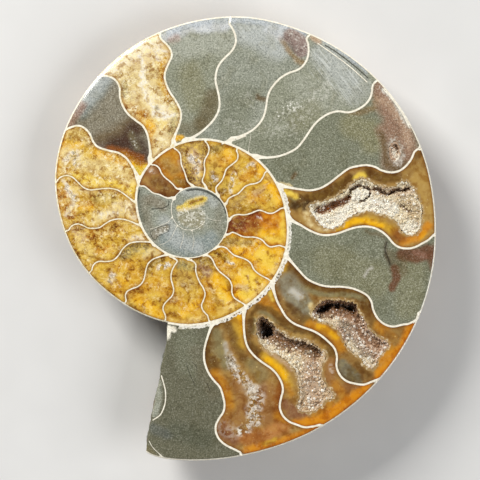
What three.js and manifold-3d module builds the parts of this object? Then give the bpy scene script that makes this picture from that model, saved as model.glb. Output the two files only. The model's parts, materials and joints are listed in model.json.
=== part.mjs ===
// A coiled ammonite sawn in half along its middle plane and polished. It lies on its rounded back
// with the cut face up. Millimetres, +Z up. The whorls are swept one turn at a time, joined, and
// the crystal-lined chamber hollows are cut into the face.
import * as THREE from 'three';
import { mergeVertices } from 'three/addons/utils/BufferGeometryUtils.js';
import { ConvexHull } from 'three/addons/math/ConvexHull.js';
import Module from 'manifold-3d';

const wasm = await Module();
wasm.setup();

// Driving dimensions of the coil. Angles are in degrees, counter-clockwise seen from above the
// cut face, and grow from the mouth inwards.
const MOUTH_ANGLE = -101;
const FIRST_RADIUS_ANGLE = -105;
const OUTER_STEP = 15;
const INNER_STEP = 30;
// Distance from the pole of the coil to the outer wall, first on the outer whorl and then inside it.
const OUTER_RADII = [
  74.3, 74.3, 74.4, 74.9, 75.1, 74.9, 74.1, 72.7, 71.4, 69.4, 66.7, 63.7, 61.0,
  57.6, 54.3, 51.0, 48.0, 45.4, 42.9, 40.2, 38.1, 36.3, 34.8, 34.1, 33.8,
];
const INNER_RADII = [
  33.6, 32.1, 30.7, 28.0, 25.8, 23.5, 21.9, 20.1, 18.7, 16.6, 15.3, 14.3, 13.4, 12.4,
  11.4, 10.2, 9.1, 8.2, 7.8, 7.5, 7.1, 6.4, 6.0, 5.6, 5.0, 4.5, 4.2,
];
// The broken mouth leans back by this much where it meets the coil, and less and less behind it.
const MOUTH_LEAN = -2;
const MOUTH_LEAN_RADIUS = 34;
const MOUTH_LEAN_SPAN = 20;
// The mouth's outer corner is worn round by this much, over about this many degrees.
const MOUTH_CORNER = 1.2;
const MOUTH_CORNER_SPAN = 2;

// Shape of the rounded back.
const UMBILICUS_RATIO = 0.22;
const THICKNESS_RATIO = 0.205;
const LEAST_THICKNESS = 1.4;
const THICKEST_PLACE = 0.34;
const SHOULDER_POWER = 0.7;
const FLANK_POWER = 1.08;
const CORE_RADIUS = 4.2;
const CORE_DEPTH = 2.6;
const CORE_SIDES = 20;
// Each later half turn starts this much slimmer, inside the end of the one before it.
const START_SLIMMING = 0.93;

// Low sickle-shaped ribs on the flanks.
const RIBS_PER_TURN = 20;
const RIB_HEIGHT = 0.5;
const RIB_SWEEP = 16;
const RIB_BEND = 7;

// The coil is swept in half turns. These are the columns along each half turn and the rows across
// its section, from the mouth inwards.
const HALF_TURNS = [
  { columns: 48, shoulderRows: 3, flankRows: 8 },
  { columns: 48, shoulderRows: 3, flankRows: 8 },
  { columns: 24, shoulderRows: 2, flankRows: 4 },
  { columns: 24, shoulderRows: 2, flankRows: 4 },
  { columns: 14, shoulderRows: 2, flankRows: 3 },
  { columns: 14, shoulderRows: 2, flankRows: 3 },
];

// The open hollows. Each stop along a hollow is [x, y, half width] on the cut face.
const HOLLOWS = [
  {
    name: 'druse_crust_lower',
    depth: 8.0,
    crust: 1.3,
    stops: [
      [20.3, -31.5, 1.7], [22.2, -36.6, 3.1], [26.4, -40.2, 3.3], [31.2, -42.2, 3.8],
      [34.9, -45.8, 4.1], [35.6, -50.9, 3.9], [36.2, -55.2, 4.3], [35.6, -58.6, 3.0],
    ],
  },
  {
    name: 'druse_crust_middle',
    depth: 8.0,
    crust: 1.3,
    stops: [
      [37.0, -29.6, 1.6], [40.2, -29.8, 3.1], [44.2, -30.6, 4.0], [47.6, -34.0, 4.2],
      [50.9, -38.0, 4.3], [53.4, -41.4, 4.2], [54.2, -45.0, 2.6],
    ],
  },
  {
    name: 'druse_crust_upper',
    depth: 7.0,
    crust: 1.3,
    stops: [
      [35.6, 1.1, 1.6], [38.8, -0.3, 3.2], [42.6, 0.4, 3.8], [46.8, 3.2, 4.2],
      [51.2, 5.0, 4.6], [56.2, 4.0, 4.4], [60.8, 2.6, 4.9], [64.2, -0.6, 4.4], [65.2, -4.4, 2.8],
    ],
  },
  {
    name: 'druse_crust_small',
    depth: 4.0,
    crust: 0.7,
    stops: [[59.8, 21.6, 1.4], [61.0, 18.6, 2.3], [60.6, 15.6, 1.4]],
  },
];
const HOLLOW_STATIONS_PER_MM = 0.3;
const HOLLOW_SECTION_STEPS = 7;
const HOLLOW_FLOOR_POWER = 0.75;
const HOLLOW_CLEARANCE = 0.3;
const CRUST_BELOW_FACE = 0.25;
const CUT_MARGIN = 1;

// The crystals of the crusts: pointed, with five flat sides.
const CRYSTAL_SIDES = 5;
const CRYSTAL_SPACING = 3.7;
const CRYSTAL_RADIUS = 1.5;
const CRYSTAL_HEIGHT = 2.1;
const CRYSTAL_ROOT = 0.5;
const CRYSTAL_LEAN = 0.3;

const wallKnots = [
  ...OUTER_RADII.map((radius, i) => [FIRST_RADIUS_ANGLE + i * OUTER_STEP, radius]),
  ...INNER_RADII.map((radius, i) => [
    FIRST_RADIUS_ANGLE + OUTER_RADII.length * OUTER_STEP + i * INNER_STEP, radius,
  ]),
];

function knotSlope(i) {
  const before = wallKnots[Math.max(i - 1, 0)];
  const after = wallKnots[Math.min(i + 1, wallKnots.length - 1)];
  return (after[1] - before[1]) / (after[0] - before[0]);
}

// Radius of the outer wall at an angle, smooth through the measured radii.
function wallRadius(angle) {
  const last = wallKnots.length - 2;
  const found = wallKnots.findIndex((knot) => knot[0] > angle) - 1;
  const i = found < 0 ? last : found;
  const [startAngle, startRadius] = wallKnots[i];
  const [endAngle, endRadius] = wallKnots[i + 1];
  const span = endAngle - startAngle;
  const t = (angle - startAngle) / span;
  const bend = t * t * (3 - 2 * t);
  const leaving = (t * t * t - 2 * t * t + t) * span * knotSlope(i);
  const arriving = (t * t * t - t * t) * span * knotSlope(i + 1);
  return startRadius + (endRadius - startRadius) * bend + leaving + arriving;
}

// One number between 0 and 1 that looks random but is always the same for the same seed.
function scatter(seed) {
  const value = Math.sin(seed * 12.9898 + 4.1) * 43758.5453;
  return value - Math.floor(value);
}

function onFace(radius, angle, depth) {
  const turn = THREE.MathUtils.degToRad(angle);
  return new THREE.Vector3(radius * Math.cos(turn), radius * Math.sin(turn), -depth);
}

// Places across a whorl, from the outer wall over the flank to the inner seam. Each has its
// distance across (0 at the seam, 1 at the wall) and its share of the full thickness.
function sectionPlaces({ shoulderRows, flankRows }) {
  const places = [];
  for (let i = 1; i <= flankRows; i += 1) {
    const turn = (Math.PI / 2) * (1 - i / flankRows);
    places.push({
      across: THICKEST_PLACE + (1 - THICKEST_PLACE) * Math.sin(turn),
      share: Math.cos(turn) ** FLANK_POWER,
    });
  }
  for (let i = 1; i < shoulderRows; i += 1) {
    const turn = (Math.PI / 2) * (i / shoulderRows);
    places.push({
      across: THICKEST_PLACE * (1 - Math.sin(turn)),
      share: Math.cos(turn) ** SHOULDER_POWER,
    });
  }
  return places;
}

function ribHeight(angle, across, wall) {
  const sweep = RIB_SWEEP * (1 - across) + RIB_BEND * Math.sin(Math.PI * 2 * across);
  const wave = Math.cos(THREE.MathUtils.degToRad((angle + sweep) * RIBS_PER_TURN));
  const fade = THREE.MathUtils.smoothstep(across, 0.3, 0.75) * (1 - across ** 8);
  return RIB_HEIGHT * (wall / OUTER_RADII[0]) * fade * wave;
}

// The closed outline of the whorl in the half plane at one angle.
function whorlSection(angle, places, slimming) {
  const fromMouth = angle - MOUTH_ANGLE;
  const corner = MOUTH_CORNER * Math.exp(-fromMouth / MOUTH_CORNER_SPAN);
  const wall = (wallRadius(angle) - corner) * slimming;
  const seam = (UMBILICUS_RATIO * wall) / slimming ** 2;
  const thickness = (THICKNESS_RATIO * wall + LEAST_THICKNESS) * slimming;
  const lean = MOUTH_LEAN * Math.max(0, 1 - fromMouth / MOUTH_LEAN_SPAN);
  const leaning = (radius) => angle + lean * (wall - radius) / (wall - MOUTH_LEAN_RADIUS);
  const ring = [onFace(seam, leaning(seam), 0), onFace(wall, angle, 0)];
  for (const { across, share } of places) {
    const radius = seam + across * (wall - seam);
    const depth = thickness * share + ribHeight(angle, across, wall);
    ring.push(onFace(radius, leaning(radius), depth));
  }
  return ring;
}

// A closed skin over rings of points that follow one another, with a fan over each end.
function loft(rings) {
  const size = rings[0].length;
  const points = rings.flat();
  const faces = [];
  for (let r = 0; r < rings.length - 1; r += 1) {
    for (let i = 0; i < size; i += 1) {
      const a = r * size + i;
      const b = r * size + ((i + 1) % size);
      faces.push(a, b, a + size, b, b + size, a + size);
    }
  }
  const addCap = (start, flipped) => {
    const middle = new THREE.Vector3();
    for (let i = 0; i < size; i += 1) middle.addScaledVector(points[start + i], 1 / size);
    const centre = points.push(middle) - 1;
    for (let i = 0; i < size; i += 1) {
      const a = start + i;
      const b = start + ((i + 1) % size);
      faces.push(...(flipped ? [centre, b, a] : [centre, a, b]));
    }
  };
  addCap(0, true);
  addCap((rings.length - 1) * size, false);
  const geometry = new THREE.BufferGeometry().setFromPoints(points);
  geometry.setIndex(faces);
  return facingOut(geometry);
}

// Sums over the triangles: the volume and the centre of mass.
function massOf(geometry) {
  const { position } = geometry.attributes;
  const corners = [new THREE.Vector3(), new THREE.Vector3(), new THREE.Vector3()];
  const centre = new THREE.Vector3();
  let volume = 0;
  for (let i = 0; i < geometry.index.count; i += 3) {
    corners.forEach((corner, k) => corner.fromBufferAttribute(position, geometry.index.getX(i + k)));
    const [a, b, c] = corners;
    const part = a.dot(b.clone().cross(c)) / 6;
    volume += part;
    centre.addScaledVector(a.clone().add(b).add(c), part / 4);
  }
  return { volume, centre: centre.divideScalar(volume) };
}

function facingOut(geometry) {
  if (massOf(geometry).volume < 0) {
    const turned = Array.from(geometry.index.array);
    for (let i = 0; i < turned.length; i += 3) {
      [turned[i], turned[i + 1]] = [turned[i + 1], turned[i]];
    }
    geometry.setIndex(turned);
  }
  return geometry;
}

function toSolid(geometry) {
  const bare = geometry.clone();
  bare.deleteAttribute('normal');
  bare.deleteAttribute('uv');
  const merged = mergeVertices(bare, 1e-5);
  return new wasm.Manifold(new wasm.Mesh({
    numProp: 3,
    vertProperties: new Float32Array(merged.attributes.position.array),
    triVerts: new Uint32Array(merged.index.array),
  }));
}

function toGeometry(solid) {
  const mesh = solid.getMesh();
  const geometry = new THREE.BufferGeometry();
  geometry.setAttribute('position', new THREE.BufferAttribute(new Float32Array(mesh.vertProperties), 3));
  geometry.setIndex(Array.from(mesh.triVerts));
  return geometry;
}

// Half a turn of the coil, starting a little early so that it overlaps the one before it.
function halfTurnSolid(halfTurn, order) {
  const places = sectionPlaces(halfTurn);
  const step = 180 / halfTurn.columns;
  const firstColumn = order === 0 ? 0 : -1;
  const rings = [];
  for (let i = firstColumn; i <= halfTurn.columns; i += 1) {
    const slimming = i < 0 ? START_SLIMMING : 1;
    rings.push(whorlSection(MOUTH_ANGLE + 180 * order + i * step, places, slimming));
  }
  return toSolid(loft(rings));
}

function coreSolid() {
  const core = new THREE.CylinderGeometry(CORE_RADIUS, CORE_RADIUS * 0.8, CORE_DEPTH, CORE_SIDES);
  core.rotateX(Math.PI / 2);
  core.translate(0, 0, -CORE_DEPTH / 2);
  return toSolid(core);
}

// A boat-shaped hollow, or a smaller one inside it: inset moves every wall inwards.
function hollowShape({ stops, depth }, inset) {
  const path = new THREE.CatmullRomCurve3(stops.map(([x, y]) => new THREE.Vector3(x, y, 0)));
  const widths = new THREE.CatmullRomCurve3(stops.map(([, , half], i) => new THREE.Vector3(i, half, 0)));
  const length = path.getLength();
  const stations = Math.max(4, Math.round(length * HOLLOW_STATIONS_PER_MM));
  const start = inset / length;
  const up = new THREE.Vector3(0, 0, 1);
  return Array.from({ length: stations + 1 }, (_, i) => {
    const along = start + (1 - 2 * start) * (i / stations);
    const parameter = path.getUtoTmapping(along);
    const side = new THREE.Vector3().crossVectors(up, path.getTangent(parameter)).normalize();
    return {
      middle: path.getPoint(parameter),
      side,
      half: Math.max(widths.getPoint(parameter).y - inset, 0.3),
      depth: (depth - inset) * (0.75 + 0.25 * Math.sin(Math.PI * along)),
    };
  });
}

// A point on the wall of a hollow, turn going from one rim (0) under the floor to the other (pi).
function hollowWallPoint({ middle, side, half, depth }, turn) {
  return middle.clone()
    .addScaledVector(side, half * Math.cos(turn))
    .setZ(-depth * Math.sin(turn) ** HOLLOW_FLOOR_POWER);
}

function hollowSolid(stations, top) {
  const rings = stations.map((station) => {
    const ring = [];
    for (let k = 0; k <= HOLLOW_SECTION_STEPS; k += 1) {
      const turn = Math.PI * (k / HOLLOW_SECTION_STEPS);
      ring.push(hollowWallPoint(station, turn));
    }
    ring[0].setZ(Math.min(top, 0));
    ring[HOLLOW_SECTION_STEPS].setZ(Math.min(top, 0));
    if (top > 0) {
      ring.unshift(ring[0].clone().setZ(top));
      ring.push(ring[ring.length - 1].clone().setZ(top));
    }
    return ring;
  });
  return toSolid(loft(rings));
}

function crystalSolid(foot, towards, seed) {
  const size = 0.75 + 0.5 * scatter(seed);
  const cone = new THREE.ConeGeometry(CRYSTAL_RADIUS * size, CRYSTAL_HEIGHT * size, CRYSTAL_SIDES);
  cone.rotateY(Math.PI * 2 * scatter(seed + 0.3));
  cone.translate(0, (CRYSTAL_HEIGHT * size) / 2 - CRYSTAL_ROOT, 0);
  const lean = new THREE.Vector3(scatter(seed + 0.5), scatter(seed + 0.7), scatter(seed + 0.9));
  const direction = towards.clone().addScaledVector(lean.subScalar(0.5), CRYSTAL_LEAN * 2).normalize();
  cone.applyQuaternion(new THREE.Quaternion().setFromUnitVectors(new THREE.Vector3(0, 1, 0), direction));
  cone.translate(foot.x, foot.y, foot.z);
  return toSolid(cone);
}

// The crust of crystals that lines a hollow, sawn off level a little below the cut face.
function crustSolid(hollow) {
  const outside = hollowSolid(hollowShape(hollow, HOLLOW_CLEARANCE), -CRUST_BELOW_FACE);
  const innerStations = hollowShape(hollow, HOLLOW_CLEARANCE + hollow.crust);
  let crust = outside.subtract(hollowSolid(innerStations, CUT_MARGIN));
  const ends = innerStations.length - 1;
  const gap = innerStations[0].middle.distanceTo(innerStations[1].middle);
  const stride = Math.max(1, Math.round(CRYSTAL_SPACING / gap));
  for (let i = 0; i <= ends; i += stride) {
    const station = innerStations[i];
    const around = Math.max(2, Math.round((station.half + station.depth) / CRYSTAL_SPACING) + 1);
    for (let k = 0; k < around; k += 1) {
      const seed = 1 + i * 17 + k * 3.7 + hollow.depth;
      const turn = Math.PI * ((k + 0.5 + 0.3 * (scatter(seed) - 0.5)) / around);
      const foot = hollowWallPoint(station, turn);
      const towards = station.middle.clone().setZ(-station.depth * 0.35).sub(foot).normalize();
      crust = crust.add(crystalSolid(foot, towards, seed));
    }
  }
  return crust.intersect(outside);
}

// The solid's steadiest resting side: the hull face nearest to the centre of mass, among those
// under the piece. The whole piece is turned so that this face lies level.
function restingTurn(geometry) {
  const points = [];
  const { position } = geometry.attributes;
  for (let i = 0; i < position.count; i += 1) {
    points.push(new THREE.Vector3().fromBufferAttribute(position, i));
  }
  const { centre } = massOf(geometry);
  const undersides = new ConvexHull().setFromPoints(points).faces.filter((face) => face.normal.z < -0.8);
  const reach = (face) => Math.abs(face.distanceToPoint(centre));
  const nearest = undersides.reduce((best, face) => (reach(face) < reach(best) ? face : best));
  return new THREE.Quaternion().setFromUnitVectors(nearest.normal, new THREE.Vector3(0, 0, -1));
}

const stone = new THREE.MeshStandardMaterial({ color: '#a8793a', roughness: 0.25, metalness: 0 });
const crystal = new THREE.MeshStandardMaterial({ color: '#e9dfd0', roughness: 0.35, metalness: 0 });

let half = coreSolid();
HALF_TURNS.forEach((halfTurn, order) => {
  half = half.add(halfTurnSolid(halfTurn, order));
});
for (const hollow of HOLLOWS) {
  half = half.subtract(hollowSolid(hollowShape(hollow, 0), CUT_MARGIN));
}

const fossil = new THREE.Group();
const body = new THREE.Mesh(toGeometry(half), stone);
body.name = 'ammonite_half';
fossil.add(body);
for (const hollow of HOLLOWS) {
  const crust = new THREE.Mesh(toGeometry(crustSolid(hollow)), crystal.clone());
  crust.name = hollow.name;
  fossil.add(crust);
}

fossil.quaternion.copy(restingTurn(body.geometry));
fossil.updateMatrixWorld(true);
const bounds = new THREE.Box3().setFromObject(fossil, true);
const middle = bounds.getCenter(new THREE.Vector3());
fossil.position.set(-middle.x, -middle.y, -bounds.min.z);

const model = new THREE.Group();
model.add(fossil);

export default model;
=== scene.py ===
# %% [markdown]
# # A cut and polished ammonite
#
# The real thing is half of a coiled fossil shell. It was sawn down its middle plane and polished,
# so the flat side shows every chamber. Walls called septa part the chambers, and stone or honey
# coloured calcite fills them. A few chambers never filled up, and sparkling crystals line them.
# This lesson dresses the packed solids, piece by piece, in the same frame and in metres.

# %% Load the fixed frame
import json
import math

import bmesh
import bpy
import numpy as np
from mathutils import Matrix, Vector, kdtree
from mathutils.geometry import delaunay_2d_cdt

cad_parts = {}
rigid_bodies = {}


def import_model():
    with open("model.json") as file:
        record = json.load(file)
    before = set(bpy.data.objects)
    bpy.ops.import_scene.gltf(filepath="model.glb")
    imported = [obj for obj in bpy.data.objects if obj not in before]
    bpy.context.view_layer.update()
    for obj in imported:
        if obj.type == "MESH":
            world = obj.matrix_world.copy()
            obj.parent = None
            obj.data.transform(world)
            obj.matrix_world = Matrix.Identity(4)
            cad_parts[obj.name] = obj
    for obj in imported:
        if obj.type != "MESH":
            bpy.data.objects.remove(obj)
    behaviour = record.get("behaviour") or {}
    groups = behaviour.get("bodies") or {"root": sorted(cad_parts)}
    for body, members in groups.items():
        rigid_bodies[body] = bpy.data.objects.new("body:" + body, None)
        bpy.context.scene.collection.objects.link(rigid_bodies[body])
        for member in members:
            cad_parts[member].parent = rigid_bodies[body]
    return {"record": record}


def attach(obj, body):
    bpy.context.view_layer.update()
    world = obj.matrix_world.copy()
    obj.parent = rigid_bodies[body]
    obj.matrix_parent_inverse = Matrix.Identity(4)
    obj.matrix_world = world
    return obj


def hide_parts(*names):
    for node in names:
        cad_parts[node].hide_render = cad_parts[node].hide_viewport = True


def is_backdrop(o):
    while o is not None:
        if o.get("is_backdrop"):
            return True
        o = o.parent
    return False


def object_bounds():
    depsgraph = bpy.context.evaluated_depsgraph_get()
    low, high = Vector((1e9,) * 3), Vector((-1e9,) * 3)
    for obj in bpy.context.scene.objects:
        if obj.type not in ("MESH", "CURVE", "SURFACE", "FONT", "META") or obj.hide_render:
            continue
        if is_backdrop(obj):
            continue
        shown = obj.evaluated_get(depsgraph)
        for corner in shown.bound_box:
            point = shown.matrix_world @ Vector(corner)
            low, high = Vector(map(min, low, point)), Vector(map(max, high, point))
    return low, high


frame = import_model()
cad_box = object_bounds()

# %% [markdown]
# ## Where the cut face lies
#
# The fossil leans a little, because its back is thicker at the mouth. Everything is modelled flat,
# with the pole of the coil at zero and the cut face at height zero, and laid down at the end. The
# record holds one point and the direction of the real cut face, which is all that takes.

# %% The face frame
MM = 0.001
PIXEL = 0.3 * MM
PIXEL_STEP = np.array([PIXEL, -PIXEL])
POLE_PIXEL = np.array([193.0, 213.0])
RECORD_POINT = Vector((-20 * MM, 20 * MM, 0))

cut_face = frame["record"]["mounts"][0]
face_turn = Vector((0, 0, 1)).rotation_difference(Vector(cut_face["axis"])).to_matrix()
pole_place = Vector(cut_face["pos_m"]) - face_turn @ RECORD_POINT
LAY_DOWN = Matrix.Translation(pole_place) @ face_turn.to_4x4()


def on_face(pixels, shift=0.0):
    """Turns places in the photograph into metres on the cut face."""
    pixels = np.asarray(pixels, float) + shift
    return (pixels - POLE_PIXEL) * PIXEL_STEP


def in_pixels(places):
    """Turns metres on the cut face back into places in the photograph."""
    return places / PIXEL_STEP + POLE_PIXEL


print("the pole lies at", [round(v, 4) for v in pole_place])

# %% [markdown]
# ## The spiral wall
#
# One wall winds from the mouth to the first coil. It could be a logarithmic spiral, but a real
# shell wanders off that by a millimetre, so its radius is read every few degrees and a smooth
# curve runs through the readings. Angles keep growing from turn to turn: the same direction one
# turn further in is 360 degrees more.

# %% Radius of the wall at any angle
MOUTH_ANGLE = -101.0
OUTER_STEP = 15
INNER_STEP = 30
OUTER_RADII = [
    74.3, 74.3, 74.4, 74.9, 75.1, 74.9, 74.1, 72.7, 71.4, 69.4, 66.7, 63.7, 61.0,
    57.6, 54.3, 51.0, 48.0, 45.4, 42.9, 40.2, 38.1, 36.3, 34.8, 34.1, 33.8,
]
INNER_RADII = [
    33.6, 32.1, 30.7, 28.0, 25.8, 23.5, 21.9, 20.1, 18.7, 16.6, 15.3, 14.3, 13.4, 12.4,
    11.4, 10.2, 9.1, 8.2, 7.8, 7.5, 7.1, 6.4, 6.0, 5.6, 5.0, 4.5, 4.2,
]
FIRST_ANGLE = -105
LAST_ANGLE = 1050
outer_angles = FIRST_ANGLE + OUTER_STEP * np.arange(len(OUTER_RADII))
inner_angles = outer_angles[-1] + OUTER_STEP + INNER_STEP * np.arange(len(INNER_RADII))
knot_angles = np.concatenate([outer_angles, inner_angles]).astype(float)
knot_radii = np.array(OUTER_RADII + INNER_RADII) * MM


def smooth_between(at, knots, values):
    """A smooth curve through (knots, values), read off at the places `at`."""
    before = np.concatenate([[0], np.arange(len(knots) - 1)])
    after = np.concatenate([np.arange(1, len(knots)), [len(knots) - 1]])
    slopes = (values[after] - values[before]) / (knots[after] - knots[before])
    left = np.clip(np.searchsorted(knots, at, side="right") - 1, 0, len(knots) - 2)
    span = knots[left + 1] - knots[left]
    t = (at - knots[left]) / span
    rise = t * t * (3 - 2 * t)
    leaving = (t**3 - 2 * t**2 + t) * span * slopes[left]
    arriving = (t**3 - t**2) * span * slopes[left + 1]
    return values[left] + (values[left + 1] - values[left]) * rise + leaving + arriving


def wall_radius(angle):
    angle = np.clip(np.asarray(angle, float), FIRST_ANGLE, LAST_ANGLE)
    return smooth_between(angle, knot_angles, knot_radii)


def spiral_point(angle, radius):
    turn = np.radians(angle)
    return np.stack([radius * np.cos(turn), radius * np.sin(turn)], axis=-1)


print("wall radius at the mouth", round(float(wall_radius(MOUTH_ANGLE)) / MM, 1), "mm")

# %% [markdown]
# ## Smooth lines through hand-placed points
#
# Septa, cracks and the edges of hollows are all drawn the same way: a few given points, and a
# smooth line through them, cut into even steps so that a mesh can follow it.

# %% Smooth lines, distances and insides


def smooth_line(points, step, closed=False):
    """A smooth line through the points, in even steps of about `step` metres."""
    points = np.asarray(points, float)
    if closed:
        points = np.vstack([points[-3:], points, points[:3]])
    lengths = np.hypot(*np.diff(points, axis=0).T)
    along = np.concatenate([[0], np.cumsum(lengths)])
    start, end = (along[3], along[-3]) if closed else (0, along[-1])
    fine = np.linspace(start, end, max(8, int((end - start) / step * 4)))
    dense = np.stack([smooth_between(fine, along, points[:, k]) for k in (0, 1)], axis=1)
    walked = np.concatenate([[0], np.cumsum(np.hypot(*np.diff(dense, axis=0).T))])
    count = max(2, int(round(walked[-1] / step)))
    even = np.linspace(0, walked[-1], count + 1)
    line = np.stack([np.interp(even, walked, dense[:, k]) for k in (0, 1)], axis=1)
    return line[:-1] if closed else line


def distance_to(points, samples):
    """Distance from each point to the nearest sample, and which sample that is."""
    tree = kdtree.KDTree(len(samples))
    for index, (x, y) in enumerate(samples):
        tree.insert((x, y, 0), index)
    tree.balance()
    found = [tree.find((x, y, 0)) for x, y in points]
    return np.array([f[2] for f in found]), np.array([f[1] for f in found])


def inside(points, loop):
    """True for each point inside a closed loop."""
    x, y = points[:, :1], points[:, 1:]
    ax, ay = loop[:, 0], loop[:, 1]
    bx, by = np.roll(ax, -1), np.roll(ay, -1)
    with np.errstate(divide="ignore", invalid="ignore"):
        crossing = ((ay > y) != (by > y)) & (x < ax + (bx - ax) * (y - ay) / (by - ay))
    return crossing.sum(axis=1) % 2 == 1


def smoothstep(value, low, high):
    t = np.clip((value - low) / (high - low), 0, 1)
    return t * t * (3 - 2 * t)


def left_of(loop):
    """A unit vector to the left of a closed line, at each of its points."""
    along = np.roll(loop, -1, axis=0) - np.roll(loop, 1, axis=0)
    along /= np.hypot(*along.T)[:, None]
    return np.stack([-along[:, 1], along[:, 0]], axis=1)


test_line = smooth_line([(0, 0), (6 * MM, 0), (12 * MM, 3 * MM)], MM)
print("a bent line in 1 mm steps has", len(test_line), "points")

# %% [markdown]
# ## The septa
#
# Each septum starts at the inner wall, swings in an S, and meets the outer wall. They are numbered
# from the mouth inwards. Their points are read off the photograph in its own pixels, and the small
# shift puts them on the middle of the white line.

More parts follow.
